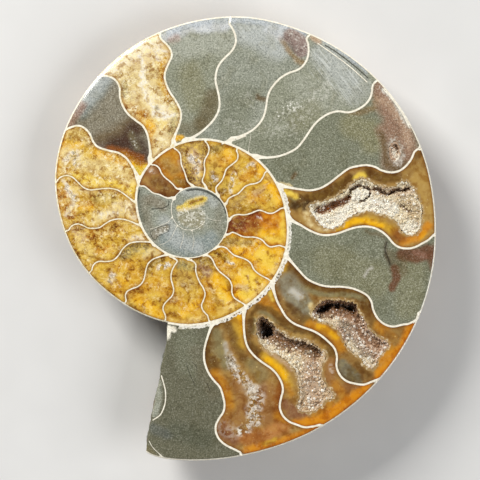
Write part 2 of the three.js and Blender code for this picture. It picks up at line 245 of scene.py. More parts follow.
# %% Septa, from the inner wall to the outer wall
LINE_SHIFT = -0.5
SEPTA = {
    1: [(215.6, 320), (211, 329), (207.4, 339.5), (205, 348.7), (204.4, 357), (205.4, 364), (209, 373.3),
        (214, 380.5), (220.3, 387.7), (223.3, 396), (225, 405), (223.8, 412.3), (219.2, 419.5),
        (216.2, 426.7), (216.7, 433.8), (220.3, 440.5), (226.4, 445.6), (234.6, 449.7), (241.8, 453.3)],
    2: [(244.4, 310), (244.2, 320.5), (244.6, 331), (246, 341), (249, 349), (255.6, 357), (263.8, 363.6),
        (272, 369.2), (278.2, 376), (282.3, 384), (283.3, 391.3), (281.3, 399.5), (280.3, 407.7),
        (283.3, 416), (289.5, 422), (296.7, 425), (305, 427.7), (312, 427.2), (322, 425)],
    3: [(271.8, 282.6), (274.4, 292), (277.4, 301), (281.5, 309), (286.7, 317.4), (293.8, 323.6),
        (303, 327.7), (313.3, 331.3), (321.5, 336), (328.7, 342), (335, 349), (337.4, 357.4), (337, 367),
        (340.8, 376), (347, 381.5), (355, 384), (364.4, 385), (372.6, 382), (381, 379)],
    4: [(284, 253.8), (290.8, 261), (299, 270.3), (308, 279.5), (319.5, 285), (329.7, 287), (342, 287.2),
        (352.3, 288.7), (359.5, 291.3), (367.7, 296), (371.8, 302), (373.8, 310.3), (378, 318.5),
        (385, 324.6), (393.3, 327), (403.6, 325), (409.7, 324), (417, 319.5), (419, 312)],
    5: [(288, 218), (294, 222), (300, 225), (310.3, 231), (320.5, 235), (328.7, 235.6), (339, 233.6),
        (349, 230), (357.4, 227.7), (366.7, 227), (375, 228.5), (382, 232), (388, 237), (394.4, 244.4),
        (400.5, 248), (408.7, 249), (416, 247.4), (423, 243.8), (429, 240.3), (434.4, 235)],
    6: [(280, 186), (290, 188), (300, 189.7), (310.3, 190.8), (320.5, 188.7), (329.7, 183.6), (339, 176.4),
        (349, 169.2), (357.4, 166.7), (366.7, 165.6), (375, 167.2), (382, 170.8), (390.3, 172.8),
        (398.5, 171.8), (405.6, 167.2), (411.8, 159.5), (415, 152.3), (419, 149)],
    7: [(256, 157), (267, 158), (277.4, 157), (287.7, 153.8), (297, 148.7), (303, 142), (309, 133.3),
        (314.4, 125.6), (320, 120), (328.7, 114.4), (338, 111.8), (349, 112.8), (357.4, 110.3),
        (365.6, 105), (370.3, 99), (372.3, 92.8), (373.3, 85.6), (376, 82)],
    8: [(231, 139), (241.5, 136.4), (251.8, 131.3), (259, 125), (263.6, 118), (266.2, 109.7),
        (267.7, 99.5), (270.3, 91.3), (275.4, 84), (281.5, 78), (289.7, 73.3), (298, 70.3), (303, 66.7),
        (307.2, 60.5), (309, 53.3), (308.7, 45), (307.2, 39), (310, 35.5)],
    9: [(186, 141), (192.3, 138.5), (200.5, 133.3), (206.7, 128.2), (212.8, 122), (217.4, 115),
        (219.8, 107.7), (219.8, 99.5), (218, 90.3), (216, 81), (217, 71.8), (220, 64.6), (226.2, 57.4),
        (232.3, 51.3), (236, 44), (236, 37), (233.3, 29.7), (229.2, 23.6)],
    10: [(173.3, 141.5), (176, 134.4), (179.5, 126), (181.5, 117), (180.5, 109.7), (176.4, 101.5),
         (169.7, 91.3), (165.6, 81), (165.6, 72.8), (169.7, 62.6), (172.3, 56), (169.7, 48), (160.5, 38.5)],
    11: [(150, 160), (150.8, 154), (149.7, 143.6), (148, 135.4), (143.6, 126.7), (136.4, 121),
         (128, 113.8), (123, 105.6), (120.5, 97.4), (120, 88), (116.4, 81), (109.7, 77), (101.5, 76),
         (98, 77)],
    12: [(139, 179.5), (136, 173), (131.5, 165), (126, 158), (119, 153.5), (108, 150.8), (97.4, 146.7),
         (92.8, 140.5), (90.3, 134.4), (85, 128.7), (79, 126.2), (71.8, 127.7), (65.6, 130.3)],
    13: [(134, 202), (126, 195.6), (119, 191), (111.8, 189), (104.6, 189), (97.4, 189.8), (90.3, 190.3),
         (84, 188), (78.6, 183), (73, 177.7), (67, 176), (60.6, 178), (56.6, 183)],
    14: [(139.6, 225.7), (135, 223.5), (128, 220.8), (120, 219.4), (111.8, 220.8), (105.5, 224.4),
         (100, 228), (93.8, 228.8), (88.5, 228.4), (83, 225.7), (77.7, 224.4), (72, 226.6), (68.7, 231.5)],
    15: [(154.4, 246), (152, 243), (146, 242.3), (137, 242.3), (129.7, 244), (123.5, 249), (119, 255.8),
         (113.6, 260.7), (106.4, 262), (99, 262), (93.8, 265.6), (92, 272)],
    16: [(168.4, 254.8), (160.8, 257), (153.6, 259.7), (148.7, 264), (146.4, 270.5), (145, 277.7),
         (142.8, 283), (138.3, 287), (132, 289.4), (127.6, 292), (125.8, 296.5), (126.7, 301),
         (125.3, 303.7)],
    17: [(169.7, 255.7), (174.2, 258.8), (177.8, 261.5), (175, 266), (172.4, 271.4), (171.5, 278.6),
         (173.3, 285.8), (174.2, 291), (172.4, 296.5), (168, 301), (164.4, 305.5), (163.5, 310),
         (165.3, 314.5), (166.6, 318.5)],
    18: [(187.7, 259.3), (193, 261.5), (196.2, 264.7), (196.2, 270.5), (197.6, 276.8), (200.3, 283),
         (203.8, 288.5), (205.6, 294.7), (203.8, 301), (202, 305.5), (203, 310), (206.5, 314.5),
         (209, 316.3)],
    19: [(204, 254.5), (210, 257), (213.2, 260.6), (215.8, 266.4), (219.6, 271.5), (225.4, 276.3),
         (230, 280.5), (232.4, 286.3), (232.4, 292.7), (234.4, 297.8), (237.6, 300.4),
         (241, 302.5), (246, 305.5)],
    20: [(215, 248), (221.5, 247), (226, 248), (230, 251.7), (234.4, 255.5), (239.5, 257.4), (244, 259),
         (248.5, 261.3), (251.7, 264.5), (254.2, 269.6), (258.7, 274), (263.2, 276.7), (269.6, 280)],
    21: [(224, 235.6), (229.2, 234.7), (233, 232.8), (237.6, 234.4), (242, 236.6), (247.2, 237.6),
         (253.6, 237.6), (259.4, 238.8), (263.2, 241), (266.4, 244.6), (270.3, 247.2), (274, 247),
         (279.2, 246), (282.4, 246.5)],
    22: [(229.5, 221), (232.3, 217.4), (235, 215.7), (239.4, 215), (245, 215.3), (250.6, 214),
         (255, 212.2), (259.8, 210.7), (264, 211.8), (268.3, 213.6), (273.2, 213.6), (278.2, 211),
         (281.7, 208.3)],
    23: [(226.7, 204.8), (228.8, 199.5), (232.3, 197), (238, 194.5), (241.5, 191.4), (245, 187.5),
         (250, 185), (255.6, 184), (260.5, 181.8), (263.3, 178), (265.8, 172.3)],
    24: [(219.7, 196.7), (217.5, 193.5), (216.4, 188.5), (218.2, 185.7), (222.4, 181), (224.6, 176),
         (226.7, 170), (230.2, 166.7), (235, 163), (238, 159.6), (238.3, 154.7), (236.5, 150)],
    25: [(207, 188.3), (205, 185), (202.8, 181.3), (204.4, 176), (205.3, 170.4), (204.7, 164.6),
         (205.6, 159.5), (208.5, 154.4), (209.5, 149), (207.6, 144), (205, 141.5)],
    26: [(194, 186.7), (191.5, 185), (188.3, 182), (186.4, 176.8), (184.5, 171), (182, 165.3),
         (181.3, 158.8), (180.6, 154.4), (177.4, 150.5), (174.2, 149)],
    27: [(182.6, 189.6), (177.4, 189), (173.6, 185), (169.7, 181.3), (165.3, 177.8), (162, 173.6),
         (159.5, 168.5), (155.6, 165.6), (151.2, 165.3)],
    28: [(173.6, 198), (168.5, 198.6), (164.6, 197.3), (159.5, 195), (153.7, 193.5), (148.6, 189.6),
         (144.7, 186.7), (140.3, 186.7)],
}
septum_lines = {n: on_face(points, LINE_SHIFT) for n, points in SEPTA.items()}
print(len(septum_lines), "septa")

# %% Fine pale lines and dark cracks
# Each line: (half its width in millimetres, points in pixels).
FINE_LINES = [
    (0.18, [(161.5, 376), (163.8, 384), (165.4, 391), (165.4, 401), (163.3, 409), (159.7, 415.4),
            (153, 420)]),
    (0.1, [(149, 441), (152.5, 447), (157.7, 452.3), (163, 457)]),
    (0.1, [(222, 144), (234, 140.5), (246, 136)]),
    (0.06, [(251, 136), (249.5, 143), (248.5, 151)]),
    (0.15, [(318, 43.5), (331, 52.5), (344, 62), (355, 71), (367, 82)]),
    (0.16, [(383, 89), (392, 99), (402, 113), (409, 127)]),
    (0.07, [(172, 217), (168, 222), (162, 224.7), (156, 227.5), (150, 229)]),
    (0.06, [(177, 226), (174, 232), (171, 238), (167, 242), (160, 245)]),
    (0.06, [(183, 231), (183, 239), (180, 248)]),
    (0.05, [(192, 231), (194, 241), (192, 250)]),
    (0.05, [(206, 217), (213, 220), (221, 221)]),
]
CRACKS = [
    (0.3, [(187, 190.5), (196, 189.3), (205, 191), (214, 195.5), (220, 200.5), (224.5, 207), (226, 213)]),
    (0.2, [(139.5, 190), (138, 198), (137.5, 206), (139, 215)]),
    (0.16, [(152, 209), (157, 208.6), (163, 208), (168, 205.5), (169, 201)]),
    (0.1, [(150, 232), (155, 229), (161.7, 226.3), (168.8, 225), (168.6, 231), (163, 234), (158, 236),
           (155.4, 240), (152, 237.4), (150, 232)]),
    (0.19, [(325, 45), (334, 50.5), (345, 58.5), (357, 68), (368, 78)]),
    (0.09, [(186, 362), (189, 372), (193, 381), (195, 386)]),
    (0.09, [(192, 362), (196, 366), (197, 371)]),
    (0.09, [(207, 383), (210, 391)]),
    (0.14, [(387, 242), (385, 250), (388, 258), (390, 264)]),
]
print(len(FINE_LINES), "fine lines and", len(CRACKS), "cracks")

# %% [markdown]
# ## Finding a chamber
#
# To ask which chamber a place belongs to, the coil is unwound. `turned` is the angle along the
# spiral, and `across` runs from 0 at the inner wall to 1 at the outer wall. Every septum is then a
# nearly straight line, and the chamber is simply the number of septa already passed.

# %% Coil coordinates
SEAM_START = -104.0
DEEPEST_TURN = 3


def coil_place(points):
    """Where each place lies along the spiral, in degrees, and between its two walls, from 0 to 1."""
    radius = np.hypot(points[:, 0], points[:, 1])
    angle = np.degrees(np.arctan2(points[:, 1], points[:, 0]))
    first = (angle - SEAM_START) % 360 + SEAM_START
    turned = first.copy()
    for turn in range(1, DEEPEST_TURN + 1):
        turned = np.where(radius < wall_radius(first + 360 * turn), first + 360 * turn, turned)
    inner = wall_radius(turned + 360)
    across = (radius - inner) / np.maximum(wall_radius(turned) - inner, 0.1 * MM)
    return turned, across


LINE_STEP = 0.4 * MM
drawn_septa = {n: smooth_line(line, LINE_STEP) for n, line in septum_lines.items()}
unwound_septa = {}
for n, line in drawn_septa.items():
    turned, across = coil_place(line)
    middle = np.median(turned)
    turned = middle + (turned - middle + 180) % 360 - 180
    radii = np.hypot(*line.T)
    inner = wall_radius(turned + 360)
    across = (radii - inner) / (wall_radius(turned) - inner)
    order = np.argsort(across)
    unwound_septa[n] = across[order], turned[order]


def chamber_of(points):
    """The number of the chamber at each place: 1 at the mouth, and one more past each septum."""
    turned, across = coil_place(points)
    chamber = np.ones(len(points), int)
    for where, angles in unwound_septa.values():
        chamber += turned > np.interp(across, where, angles)
    return chamber


print("the first septa stand at", [int(np.median(unwound_septa[n][1])) for n in (1, 2, 3)], "degrees")

# %% [markdown]
# ## The outline and the broken mouth
#
# The sawn outline is one turn of the wall, closed by the broken mouth. The break leans a little, so
# angles near it are nudged by a few readings. The same columns of points will carry the face, its
# ground rim and the rounded back, so the three meet without a gap.

# %% Outline of the cut face
COLUMNS = 480
MOUTH_CORNER = 1.2 * MM
MOUTH_CORNER_SPAN = 2.0
LEAN_SPAN = 20.0
LEAN_RADII = np.array([14, 33.8, 35.4, 39.3, 46.9, 50.6, 56.3, 66, 70.4, 73.1]) * MM
LEAN_ANGLES = [-3.0, -2.0, -1.7, -0.45, -0.7, -0.4, -0.5, -0.5, -0.3, -0.1]
MOUTH_STEP = 0.5 * MM


def outer_radius(angle):
    """Radius of the outline, where the mouth's corner is a little worn."""
    past = np.clip(np.asarray(angle, float) - MOUTH_ANGLE, 0, 360)
    return wall_radius(angle) - MOUTH_CORNER * np.exp(-past / MOUTH_CORNER_SPAN)


def plan_place(angle, radius):
    """A place on the plan, nudged where it is close to the leaning mouth."""
    past = (np.asarray(angle, float) - MOUTH_ANGLE) % 360
    fade = np.clip(1 - np.minimum(past, 360 - past) / LEAN_SPAN, 0, 1)
    return spiral_point(angle + fade * np.interp(radius, LEAN_RADII, LEAN_ANGLES), radius)


column_angles = MOUTH_ANGLE + 360 * np.arange(COLUMNS + 1) / COLUMNS
rim_line = plan_place(column_angles, outer_radius(column_angles))
inner_end, outer_end = (float(outer_radius(a)) for a in (column_angles[-1], column_angles[0]))
mouth_steps = int((outer_end - inner_end) / MOUTH_STEP)
mouth_radii = np.linspace(inner_end, outer_end, mouth_steps + 1)
mouth_line = plan_place(np.full(mouth_steps - 1, MOUTH_ANGLE), mouth_radii[1:-1])
outline = np.vstack([rim_line, mouth_line])
print("outline of", len(outline), "points,", (np.ptp(outline, axis=0) / MM).round(1), "mm")

# %% [markdown]
# ## The open hollows
#
# Four chambers kept a gap. Each gap is a closed line on the face. Inside it the stone drops in a
# steep bowl, which a later piece lines with crystals.

# %% Edges of the hollows
HOLLOWS = {
    "lower": [(258, 320), (262, 316), (270, 322), (277, 328), (283, 333), (290, 337), (300, 339),
              (308, 341), (315, 345), (320, 349), (325, 353), (326, 358), (323, 363), (321, 370),
              (322, 378), (326, 384), (330, 390), (334, 396), (332, 399), (326, 400), (323, 404),
              (320, 408), (313, 411), (305, 412), (298, 410), (296, 406), (299, 400), (300, 392),
              (299, 385), (297, 377), (295, 370), (290, 364), (283, 358), (275, 354), (267, 350),
              (261, 344), (257, 336), (256, 328)],
    "middle": [(313, 312), (316, 307), (320, 303), (326, 300), (334, 300), (342, 300), (348, 302),
               (353, 302), (357, 306), (358, 312), (362, 316), (366, 322), (368, 328), (374, 334),
               (381, 339), (387, 341), (389, 346), (384, 351), (380, 357), (377, 363), (374, 368),
               (369, 368), (364, 364), (360, 357), (352, 352), (347, 347), (344, 340), (340, 333),
               (334, 326), (326, 323), (318, 320), (313, 317)],
    "upper": [(308, 206), (316, 203), (325, 201), (335, 197), (345, 191), (350, 185), (357, 181),
              (363, 178), (370, 182), (378, 185), (388, 188), (396, 186), (402, 181), (408, 183),
              (415, 190), (418, 198), (422, 208), (422, 218), (420, 228), (415, 234), (408, 235),
              (402, 231), (398, 224), (393, 219), (387, 215), (378, 214), (370, 211), (362, 212),
              (355, 214), (348, 218), (342, 224), (335, 228), (327, 229), (320, 224), (314, 217),
              (310, 210)],
    "small": [(391, 143), (395, 141), (399, 144), (401, 150), (400, 156), (397, 161), (393, 162),
              (390, 158), (389, 151)],
}
HOLLOW_DEPTHS = {"lower": 7.4 * MM, "middle": 7.4 * MM, "upper": 6.4 * MM, "small": 3.4 * MM}
WALL_CURVE = 0.55
TOOTH = 0.26 * MM


def toothed(line, chance):
    """The line with crystal tips along it: every point moves a little to or fro."""
    return line + left_of(line) * chance.uniform(-TOOTH, TOOTH, len(line))[:, None]


tooth_chance = np.random.default_rng(5)
hollow_lines = {name: toothed(smooth_line(on_face(points), LINE_STEP, closed=True), tooth_chance)
                for name, points in HOLLOWS.items()}


def bowl_depth(name, gap, widest):
    """Depth of a hollow's bowl at a distance `gap` from its edge."""
    t = np.clip(gap / widest, 0, 1)
    return HOLLOW_DEPTHS[name] * (1 - (1 - t) ** 2) ** WALL_CURVE


for name, line in hollow_lines.items():
    print(name, "hollow spans", (np.ptp(line, axis=0) / MM).round(1), "mm")

# %% [markdown]
# ## The cut face as a mesh
#
# The face needs edges that follow every septum, so that colours meet in a crisp line. A grid could
# not do that. A constrained triangulation can: it takes scattered points and lines that must stay,
# and joins them into well-shaped triangles.

# %% Points and lines of the face
FACE_STEP = 0.47 * MM
RIM_ROWS = np.array([0.22, 0.5, 0.85, 1.3, 1.8]) * MM
HOLLOW_ROWS = np.array([0.1, 0.35, 0.7, 1.2]) * MM
CLEAR_OF_LINES = 0.2 * MM
RIM_CLEARANCE = 0.6 * FACE_STEP
ROW_CLEARANCE = 0.85
WALL_END = 1045.0
WALL_DEGREES = 1.2
JOIN_REACH = 0.09
SHORT_OF_WALL = 0.02 * MM


def reach_walls(line):
    """Carries the ends of a septum onto the walls that it almost touches."""
    line = line.copy()
    for end in (0, -1):
        turned, across = coil_place(line[[end]])
        radius = np.hypot(*line[end])
        for wall in (wall_radius(turned[0]), wall_radius(turned[0] + 360)):
            if abs(radius - wall) < JOIN_REACH * radius:
                line[end] *= (wall - SHORT_OF_WALL) / radius
                break
    return line


def inward_rows(loop, distances):
    """Points in rows inside a closed line, at the given distances from it."""
    ahead = np.roll(loop, -1, axis=0)
    area = 0.5 * np.sum(loop[:, 0] * ahead[:, 1] - ahead[:, 0] * loop[:, 1])
    inward = left_of(loop) * np.sign(area)
    rows = []
    for distance in distances:
        row = loop + inward * distance
        gap, _ = distance_to(row, loop)
        rows.append(row[gap > ROW_CLEARANCE * distance])
    return np.vstack(rows)


def hex_grid(low, high, step):
    """Points of an even grid where each row is half a step beside the last."""
    rows = np.arange(low[1], high[1], step * math.sqrt(3) / 2)
    lines = []
    for k, y in enumerate(rows):
        x = np.arange(low[0] + (k % 2) * step / 2, high[0], step)
        lines.append(np.stack([x, np.full(len(x), y)], axis=1))
    return np.vstack(lines)


def inside_all(points, loop, batch=4000):
    parts = [inside(points[k:k + batch], loop) for k in range(0, len(points), batch)]
    return np.concatenate(parts)


def kept_inside(points):
    """The part of a drawn line that lies well inside the outline."""
    line = smooth_line(on_face(points), LINE_STEP)
    gap, _ = distance_to(line, outline)
    return line[inside(line, outline) & (gap > CLEAR_OF_LINES)]


print("rows of points inside the rim at", (RIM_ROWS / MM).round(2), "mm")

# %% Scatter the points
fine_lines, cracks = ([(half * MM, kept_inside(points)) for half, points in lines]
                      for lines in (FINE_LINES, CRACKS))
wall_count = int((WALL_END - column_angles[-1]) / WALL_DEGREES)
wall_angles = np.linspace(column_angles[-1], WALL_END, wall_count)
inner_wall = smooth_line(plan_place(wall_angles, wall_radius(wall_angles)), LINE_STEP)
septa_on_face = {n: reach_walls(line) for n, line in drawn_septa.items()}
open_lines = [inner_wall] + list(septa_on_face.values()) + [line for _, line in fine_lines + cracks]
loops = [outline] + list(hollow_lines.values())
fixed = np.vstack(open_lines + loops)
scattered = hex_grid(outline.min(axis=0), outline.max(axis=0), FACE_STEP)
scattered = scattered[inside_all(scattered, outline)]
rim_gap, _ = distance_to(scattered, outline)
scattered = scattered[rim_gap > RIM_ROWS[-1] + RIM_CLEARANCE]
scattered = np.vstack([scattered, inward_rows(outline, RIM_ROWS)]
                      + [inward_rows(line, HOLLOW_ROWS) for line in hollow_lines.values()])
line_gap, _ = distance_to(scattered, fixed)
scattered = scattered[line_gap > CLEAR_OF_LINES]
print(len(scattered), "scattered points,", len(fixed), "points on lines")

# %% Triangulate the face
WELD = 1e-6


def triangulate(points, open_lines, loops):
    """Joins points into triangles that keep every line. Returns places and triangles."""
    places, edges = [points], []
    start = len(points)
    for line in open_lines:
        edges += [(start + k, start + k + 1) for k in range(len(line) - 1)]
        places.append(line)
        start += len(line)
    for loop in loops:
        edges += [(start + k, start + (k + 1) % len(loop)) for k in range(len(loop))]
        places.append(loop)
        start += len(loop)
    flat = [Vector(p) for p in np.vstack(places)]
    made = delaunay_2d_cdt(flat, edges, [], 1, WELD)
    return np.array([v[:] for v in made[0]]), np.array([f for f in made[2] if len(f) == 3])


face_places, face_triangles = triangulate(scattered, open_lines, loops)
print("face of", len(face_places), "points and", len(face_triangles), "triangles")

# %% [markdown]
# ## The ground rim and the bowls
#
# Grinding rounds the rim a little, more so along the upper left, where it catches the light as a
# white line. The height of every face point follows from its distance to the outline and, inside a
# hollow, to the hollow's edge.

# %% Heights on the face
RIM_WIDTH = 0.8 * MM
RIM_DROP = 0.35 * MM
WIDE_RIM_WIDTH = 2.0 * MM
WIDE_RIM_DROP = 0.75 * MM
WIDE_RIM_FROM, WIDE_RIM_TO, WIDE_RIM_FADE = 52.0, 162.0, 18.0


def rim_shape(angle):
    """(width, drop) of the ground rim at an angle."""
    wide = smoothstep(angle, WIDE_RIM_FROM - WIDE_RIM_FADE, WIDE_RIM_FROM)
    wide = wide * (1 - smoothstep(angle, WIDE_RIM_TO, WIDE_RIM_TO + WIDE_RIM_FADE))
    return RIM_WIDTH + (WIDE_RIM_WIDTH - RIM_WIDTH) * wide, RIM_DROP + (WIDE_RIM_DROP - RIM_DROP) * wide


def rim_height(points, gap):
    angle = np.degrees(np.arctan2(points[:, 1], points[:, 0]))
    outer = np.where(angle < SEAM_START, angle + 360, angle)
    width, drop = rim_shape(outer)
    return -drop * np.clip(1 - gap / width, 0, 1) ** 2


ON_LINE = 1e-6


def gap_to_loop(points, loop):
    """Distance to a closed line, exactly zero for the line's own points."""
    gap, _ = distance_to(points, smooth_line(loop, 0.1 * MM, closed=True))
    own, _ = distance_to(points, loop)
    return np.where(own < ON_LINE, 0, gap)


outline_gap = gap_to_loop(face_places, outline)
face_heights = rim_height(face_places, outline_gap)

hollow_of_point = np.full(len(face_places), -1)
hollow_gaps, hollow_widths = {}, {}
for index, (name, line) in enumerate(hollow_lines.items()):
    within = np.flatnonzero(inside_all(face_places, line))
    gap = gap_to_loop(face_places[within], line)
    within, gap = within[gap > 0], gap[gap > 0]
    hollow_of_point[within] = index
    hollow_gaps[name], hollow_widths[name] = gap, gap.max()
    face_heights[within] = -bowl_depth(name, gap, gap.max())
print("lowest point of the bowls", round(face_heights.min() / MM, 2), "mm")

# %% [markdown]
# ## The rounded back
#
# Nobody sees the back in the photograph. It stays the outside of the shell: whorls that swell like
# a tyre, low sickle-shaped ribs, and a sunken navel where the inner whorls show. One strip winds
# round it. Where one whorl sinks behind the next, the strip shares its edge with itself one turn on.

# %% Section of a whorl
SEAM_RATIO = 0.22
THICKNESS_RATIO = 0.205
LEAST_THICKNESS = 1.4 * MM
THICKEST_PLACE = 0.34
SHOULDER_POWER = 0.7
FLANK_POWER = 1.08
RIBS_PER_TURN = 20
RIB_HEIGHT = 0.5 * MM
RIB_SWEEP = 16
RIB_BEND = 7
RIB_RISE = (0.3, 0.75)
RIB_END_POWER = 8
HALVINGS = 30


def whorl_depth(angle, radius):
    """How deep the whorl at an unwound angle reaches below the cut face at a radius."""
    wall = outer_radius(angle)
    seam = SEAM_RATIO * wall
    share = (radius - seam) / (wall - seam)
    on_flank = np.clip((share - THICKEST_PLACE) / (1 - THICKEST_PLACE), 0, 1)
    on_shoulder = np.clip(1 - share / THICKEST_PLACE, 0, 1)
    flank = np.sqrt(1 - on_flank**2) ** FLANK_POWER
    shoulder = np.sqrt(1 - on_shoulder**2) ** SHOULDER_POWER
    depth = (THICKNESS_RATIO * wall + LEAST_THICKNESS) * np.where(share > THICKEST_PLACE, flank, shoulder)
    sweep = RIB_SWEEP * (1 - share) + RIB_BEND * np.sin(2 * np.pi * share)
    wave = np.cos(np.radians((angle + sweep) * RIBS_PER_TURN))
    rise = smoothstep(share, *RIB_RISE) * (1 - np.clip(share, 0, 1) ** RIB_END_POWER)
    return depth + RIB_HEIGHT * wall / knot_radii[0] * rise * wave


def crease_radius(angle):
    """Where the whorl at an angle sinks behind the next turn in."""
    wall = outer_radius(angle)
    low = SEAM_RATIO * wall
    high = low + THICKEST_PLACE * (wall - low)
    for _ in range(HALVINGS):
        middle = 0.5 * (low + high)
        deeper = whorl_depth(angle, middle) > whorl_depth(angle + 360, middle)
        low, high = np.where(deeper, low, middle), np.where(deeper, middle, high)
    return 0.5 * (low + high)


print("the navel is", round(2 * float(crease_radius(np.array([MOUTH_ANGLE]))[0]) / MM, 1), "mm across")

# %% The strip that winds round the back
OUTER_TURN_ROWS = 22
INNER_TURN_ROWS = 12
STRIP_TURNS = 3
RIM_CROWDING = 2.0


def crowded(rows, crowding):
    """Shares from 0 to 1 that crowd towards 0, where the rim is steep."""
    return np.linspace(0, 1, rows + 1) ** crowding


strip_angles = MOUTH_ANGLE + 360 * np.arange(STRIP_TURNS * COLUMNS + 1) / COLUMNS
creases = crease_radius(strip_angles)
outer_rows = OUTER_TURN_ROWS + INNER_TURN_ROWS
first_shares = crowded(outer_rows, RIM_CROWDING)
cliff_foot = creases[0]
last_span = inner_end - creases[COLUMNS]
cliff_shares = crowded(OUTER_TURN_ROWS, RIM_CROWDING) * (inner_end - cliff_foot) / last_span
under_shares = (inner_end - cliff_foot + np.linspace(0, 1, INNER_TURN_ROWS + 1)[1:]
                * (cliff_foot - creases[COLUMNS])) / last_span
last_shares = np.concatenate([cliff_shares, under_shares])
print("the last whorl's cliff ends", round(float(cliff_foot) / MM, 1), "mm from the pole")

# %% Points of the strip
back_places, back_ids = [], {}
for column, angle in enumerate(strip_angles):
    own_turn = column <= COLUMNS
    outside = float(outer_radius(angle)) if own_turn else creases[column - COLUMNS]
    blend = min(column / COLUMNS, 1)
    shares = (1 - blend) * first_shares + blend * last_shares
    if not own_turn:
        shares = np.linspace(0, 1, INNER_TURN_ROWS + 1)
    radii = outside + (creases[column] - outside) * shares
    plan = plan_place(np.full(len(radii), angle), radii)
    depth = np.maximum(whorl_depth(angle, radii), rim_shape(angle)[1] if own_turn else 0)
    for row in range(0 if own_turn else 1, len(radii)):
        back_ids[column, row] = len(back_places)
        back_places.append((plan[row, 0], plan[row, 1], -depth[row]))
navel_middle = len(back_places)
back_places.append((0, 0, back_places[-1][2]))
print("the navel is", round(-back_places[-1][2] / MM, 1), "mm below the cut face")

# %% Faces of the strip


def outer_point(column, row):
    return back_ids[column, row]


def inner_point(column, row):
    """A point of the inner turns. Their outer edge belongs to the turn outside them."""
    if column == COLUMNS:
        return back_ids[column, OUTER_TURN_ROWS + row]
    if row > 0:
        return back_ids[column, row]
    if column < 2 * COLUMNS:
        return back_ids[column - COLUMNS, outer_rows]
    return inner_point(column - COLUMNS, INNER_TURN_ROWS)


back_faces, back_marks = [], []
for column in range(STRIP_TURNS * COLUMNS):
    outer = column < COLUMNS
    rows, point = (outer_rows, outer_point) if outer else (INNER_TURN_ROWS, inner_point)
    for row in range(rows):
        corners = [(column, row), (column + 1, row), (column + 1, row + 1), (column, row + 1)]
        back_faces.append([point(c, r) for c, r in corners])
        back_marks.append([(strip_angles[c], r / rows) for c, r in corners])

last = STRIP_TURNS * COLUMNS
navel_edge = [inner_point(c, INNER_TURN_ROWS) for c in range(last - COLUMNS, last + 1)]
navel_edge += [inner_point(last, row) for row in range(INNER_TURN_ROWS - 1, 0, -1)]
for k, point in enumerate(navel_edge):
    back_faces.append([point, navel_edge[(k + 1) % len(navel_edge)], navel_middle])
    back_marks.append([(strip_angles[-1], 1.0)] * 3)
print("back of", len(back_places), "points and", len(back_faces), "faces")

# %% [markdown]
# ## The broken mouth
#
# The last chamber ends in a rough break, and the break also shows a step down to the older whorl
# beside it. Seen from the front it is a flat shape: the whorl's section above, the older whorl
# below. The same triangulation fills that shape, and a little noise makes it look snapped off.

# %% Fill the broken mouth
BREAK_STEP = 0.7 * MM
CLEAR_SHARE = 0.5
BREAK_ROUGHNESS = 0.45 * MM
BREAK_GRAIN = 2.6 * MM
BREAK_FADE = 1.5 * MM
FINE_BREAK, FINE_BREAK_SIZE = 0.5, 0.4
CLOUD_SIZE = 64
CLOUD_LAYERS = 6
cloud_chance = np.random.default_rng(7)
cloud_table = cloud_chance.uniform(-1, 1, (CLOUD_SIZE, CLOUD_SIZE, CLOUD_LAYERS))


def cloud(points, size, layer):
    """Soft noise between -1 and 1, with blobs about `size` metres wide."""
    place = points / size
    cell = np.floor(place).astype(int)
    t = place - cell
    t = t * t * (3 - 2 * t)
    table = cloud_table[:, :, layer]

    def at(dx, dy):
        return table[(cell[:, 0] + dx) % CLOUD_SIZE, (cell[:, 1] + dy) % CLOUD_SIZE]

    near = at(0, 0) * (1 - t[:, 0]) + at(1, 0) * t[:, 0]
    far = at(0, 1) * (1 - t[:, 0]) + at(1, 1) * t[:, 0]
    return near * (1 - t[:, 1]) + far * t[:, 1]


def strip_column(column, rows):
    places = np.array([back_places[back_ids[column, row]] for row in range(rows + 1)])
    return np.stack([np.hypot(places[:, 0], places[:, 1]), places[:, 2]], axis=1)


front_column = strip_column(0, outer_rows)
under_column = strip_column(COLUMNS, OUTER_TURN_ROWS)
top_edge = np.stack([mouth_radii[1:-1], np.full(mouth_steps - 1, -RIM_DROP)], axis=1)
break_loop = np.vstack([front_column, under_column[-2::-1], top_edge])
inner_break = hex_grid(break_loop.min(axis=0), break_loop.max(axis=0), BREAK_STEP)
inner_break = inner_break[inside(inner_break, break_loop)]
break_gap, _ = distance_to(inner_break, break_loop)
inner_break = inner_break[break_gap > CLEAR_SHARE * BREAK_STEP]
break_flat, break_triangles = triangulate(inner_break, [], [break_loop])

break_gap = gap_to_loop(break_flat, break_loop)
snapped = cloud(break_flat, BREAK_GRAIN, 0)
snapped += FINE_BREAK * cloud(break_flat, FINE_BREAK_SIZE * BREAK_GRAIN, 1)
snapped *= BREAK_ROUGHNESS * np.clip(break_gap / BREAK_FADE, 0, 1)
across_break = np.radians(MOUTH_ANGLE)
break_plan = plan_place(np.full(len(break_flat), MOUTH_ANGLE), break_flat[:, 0])
break_plan += snapped[:, None] * np.array([-math.sin(across_break), math.cos(across_break)])
break_places = np.column_stack([break_plan, break_flat[:, 1]])
print("broken mouth of", len(break_triangles), "triangles")
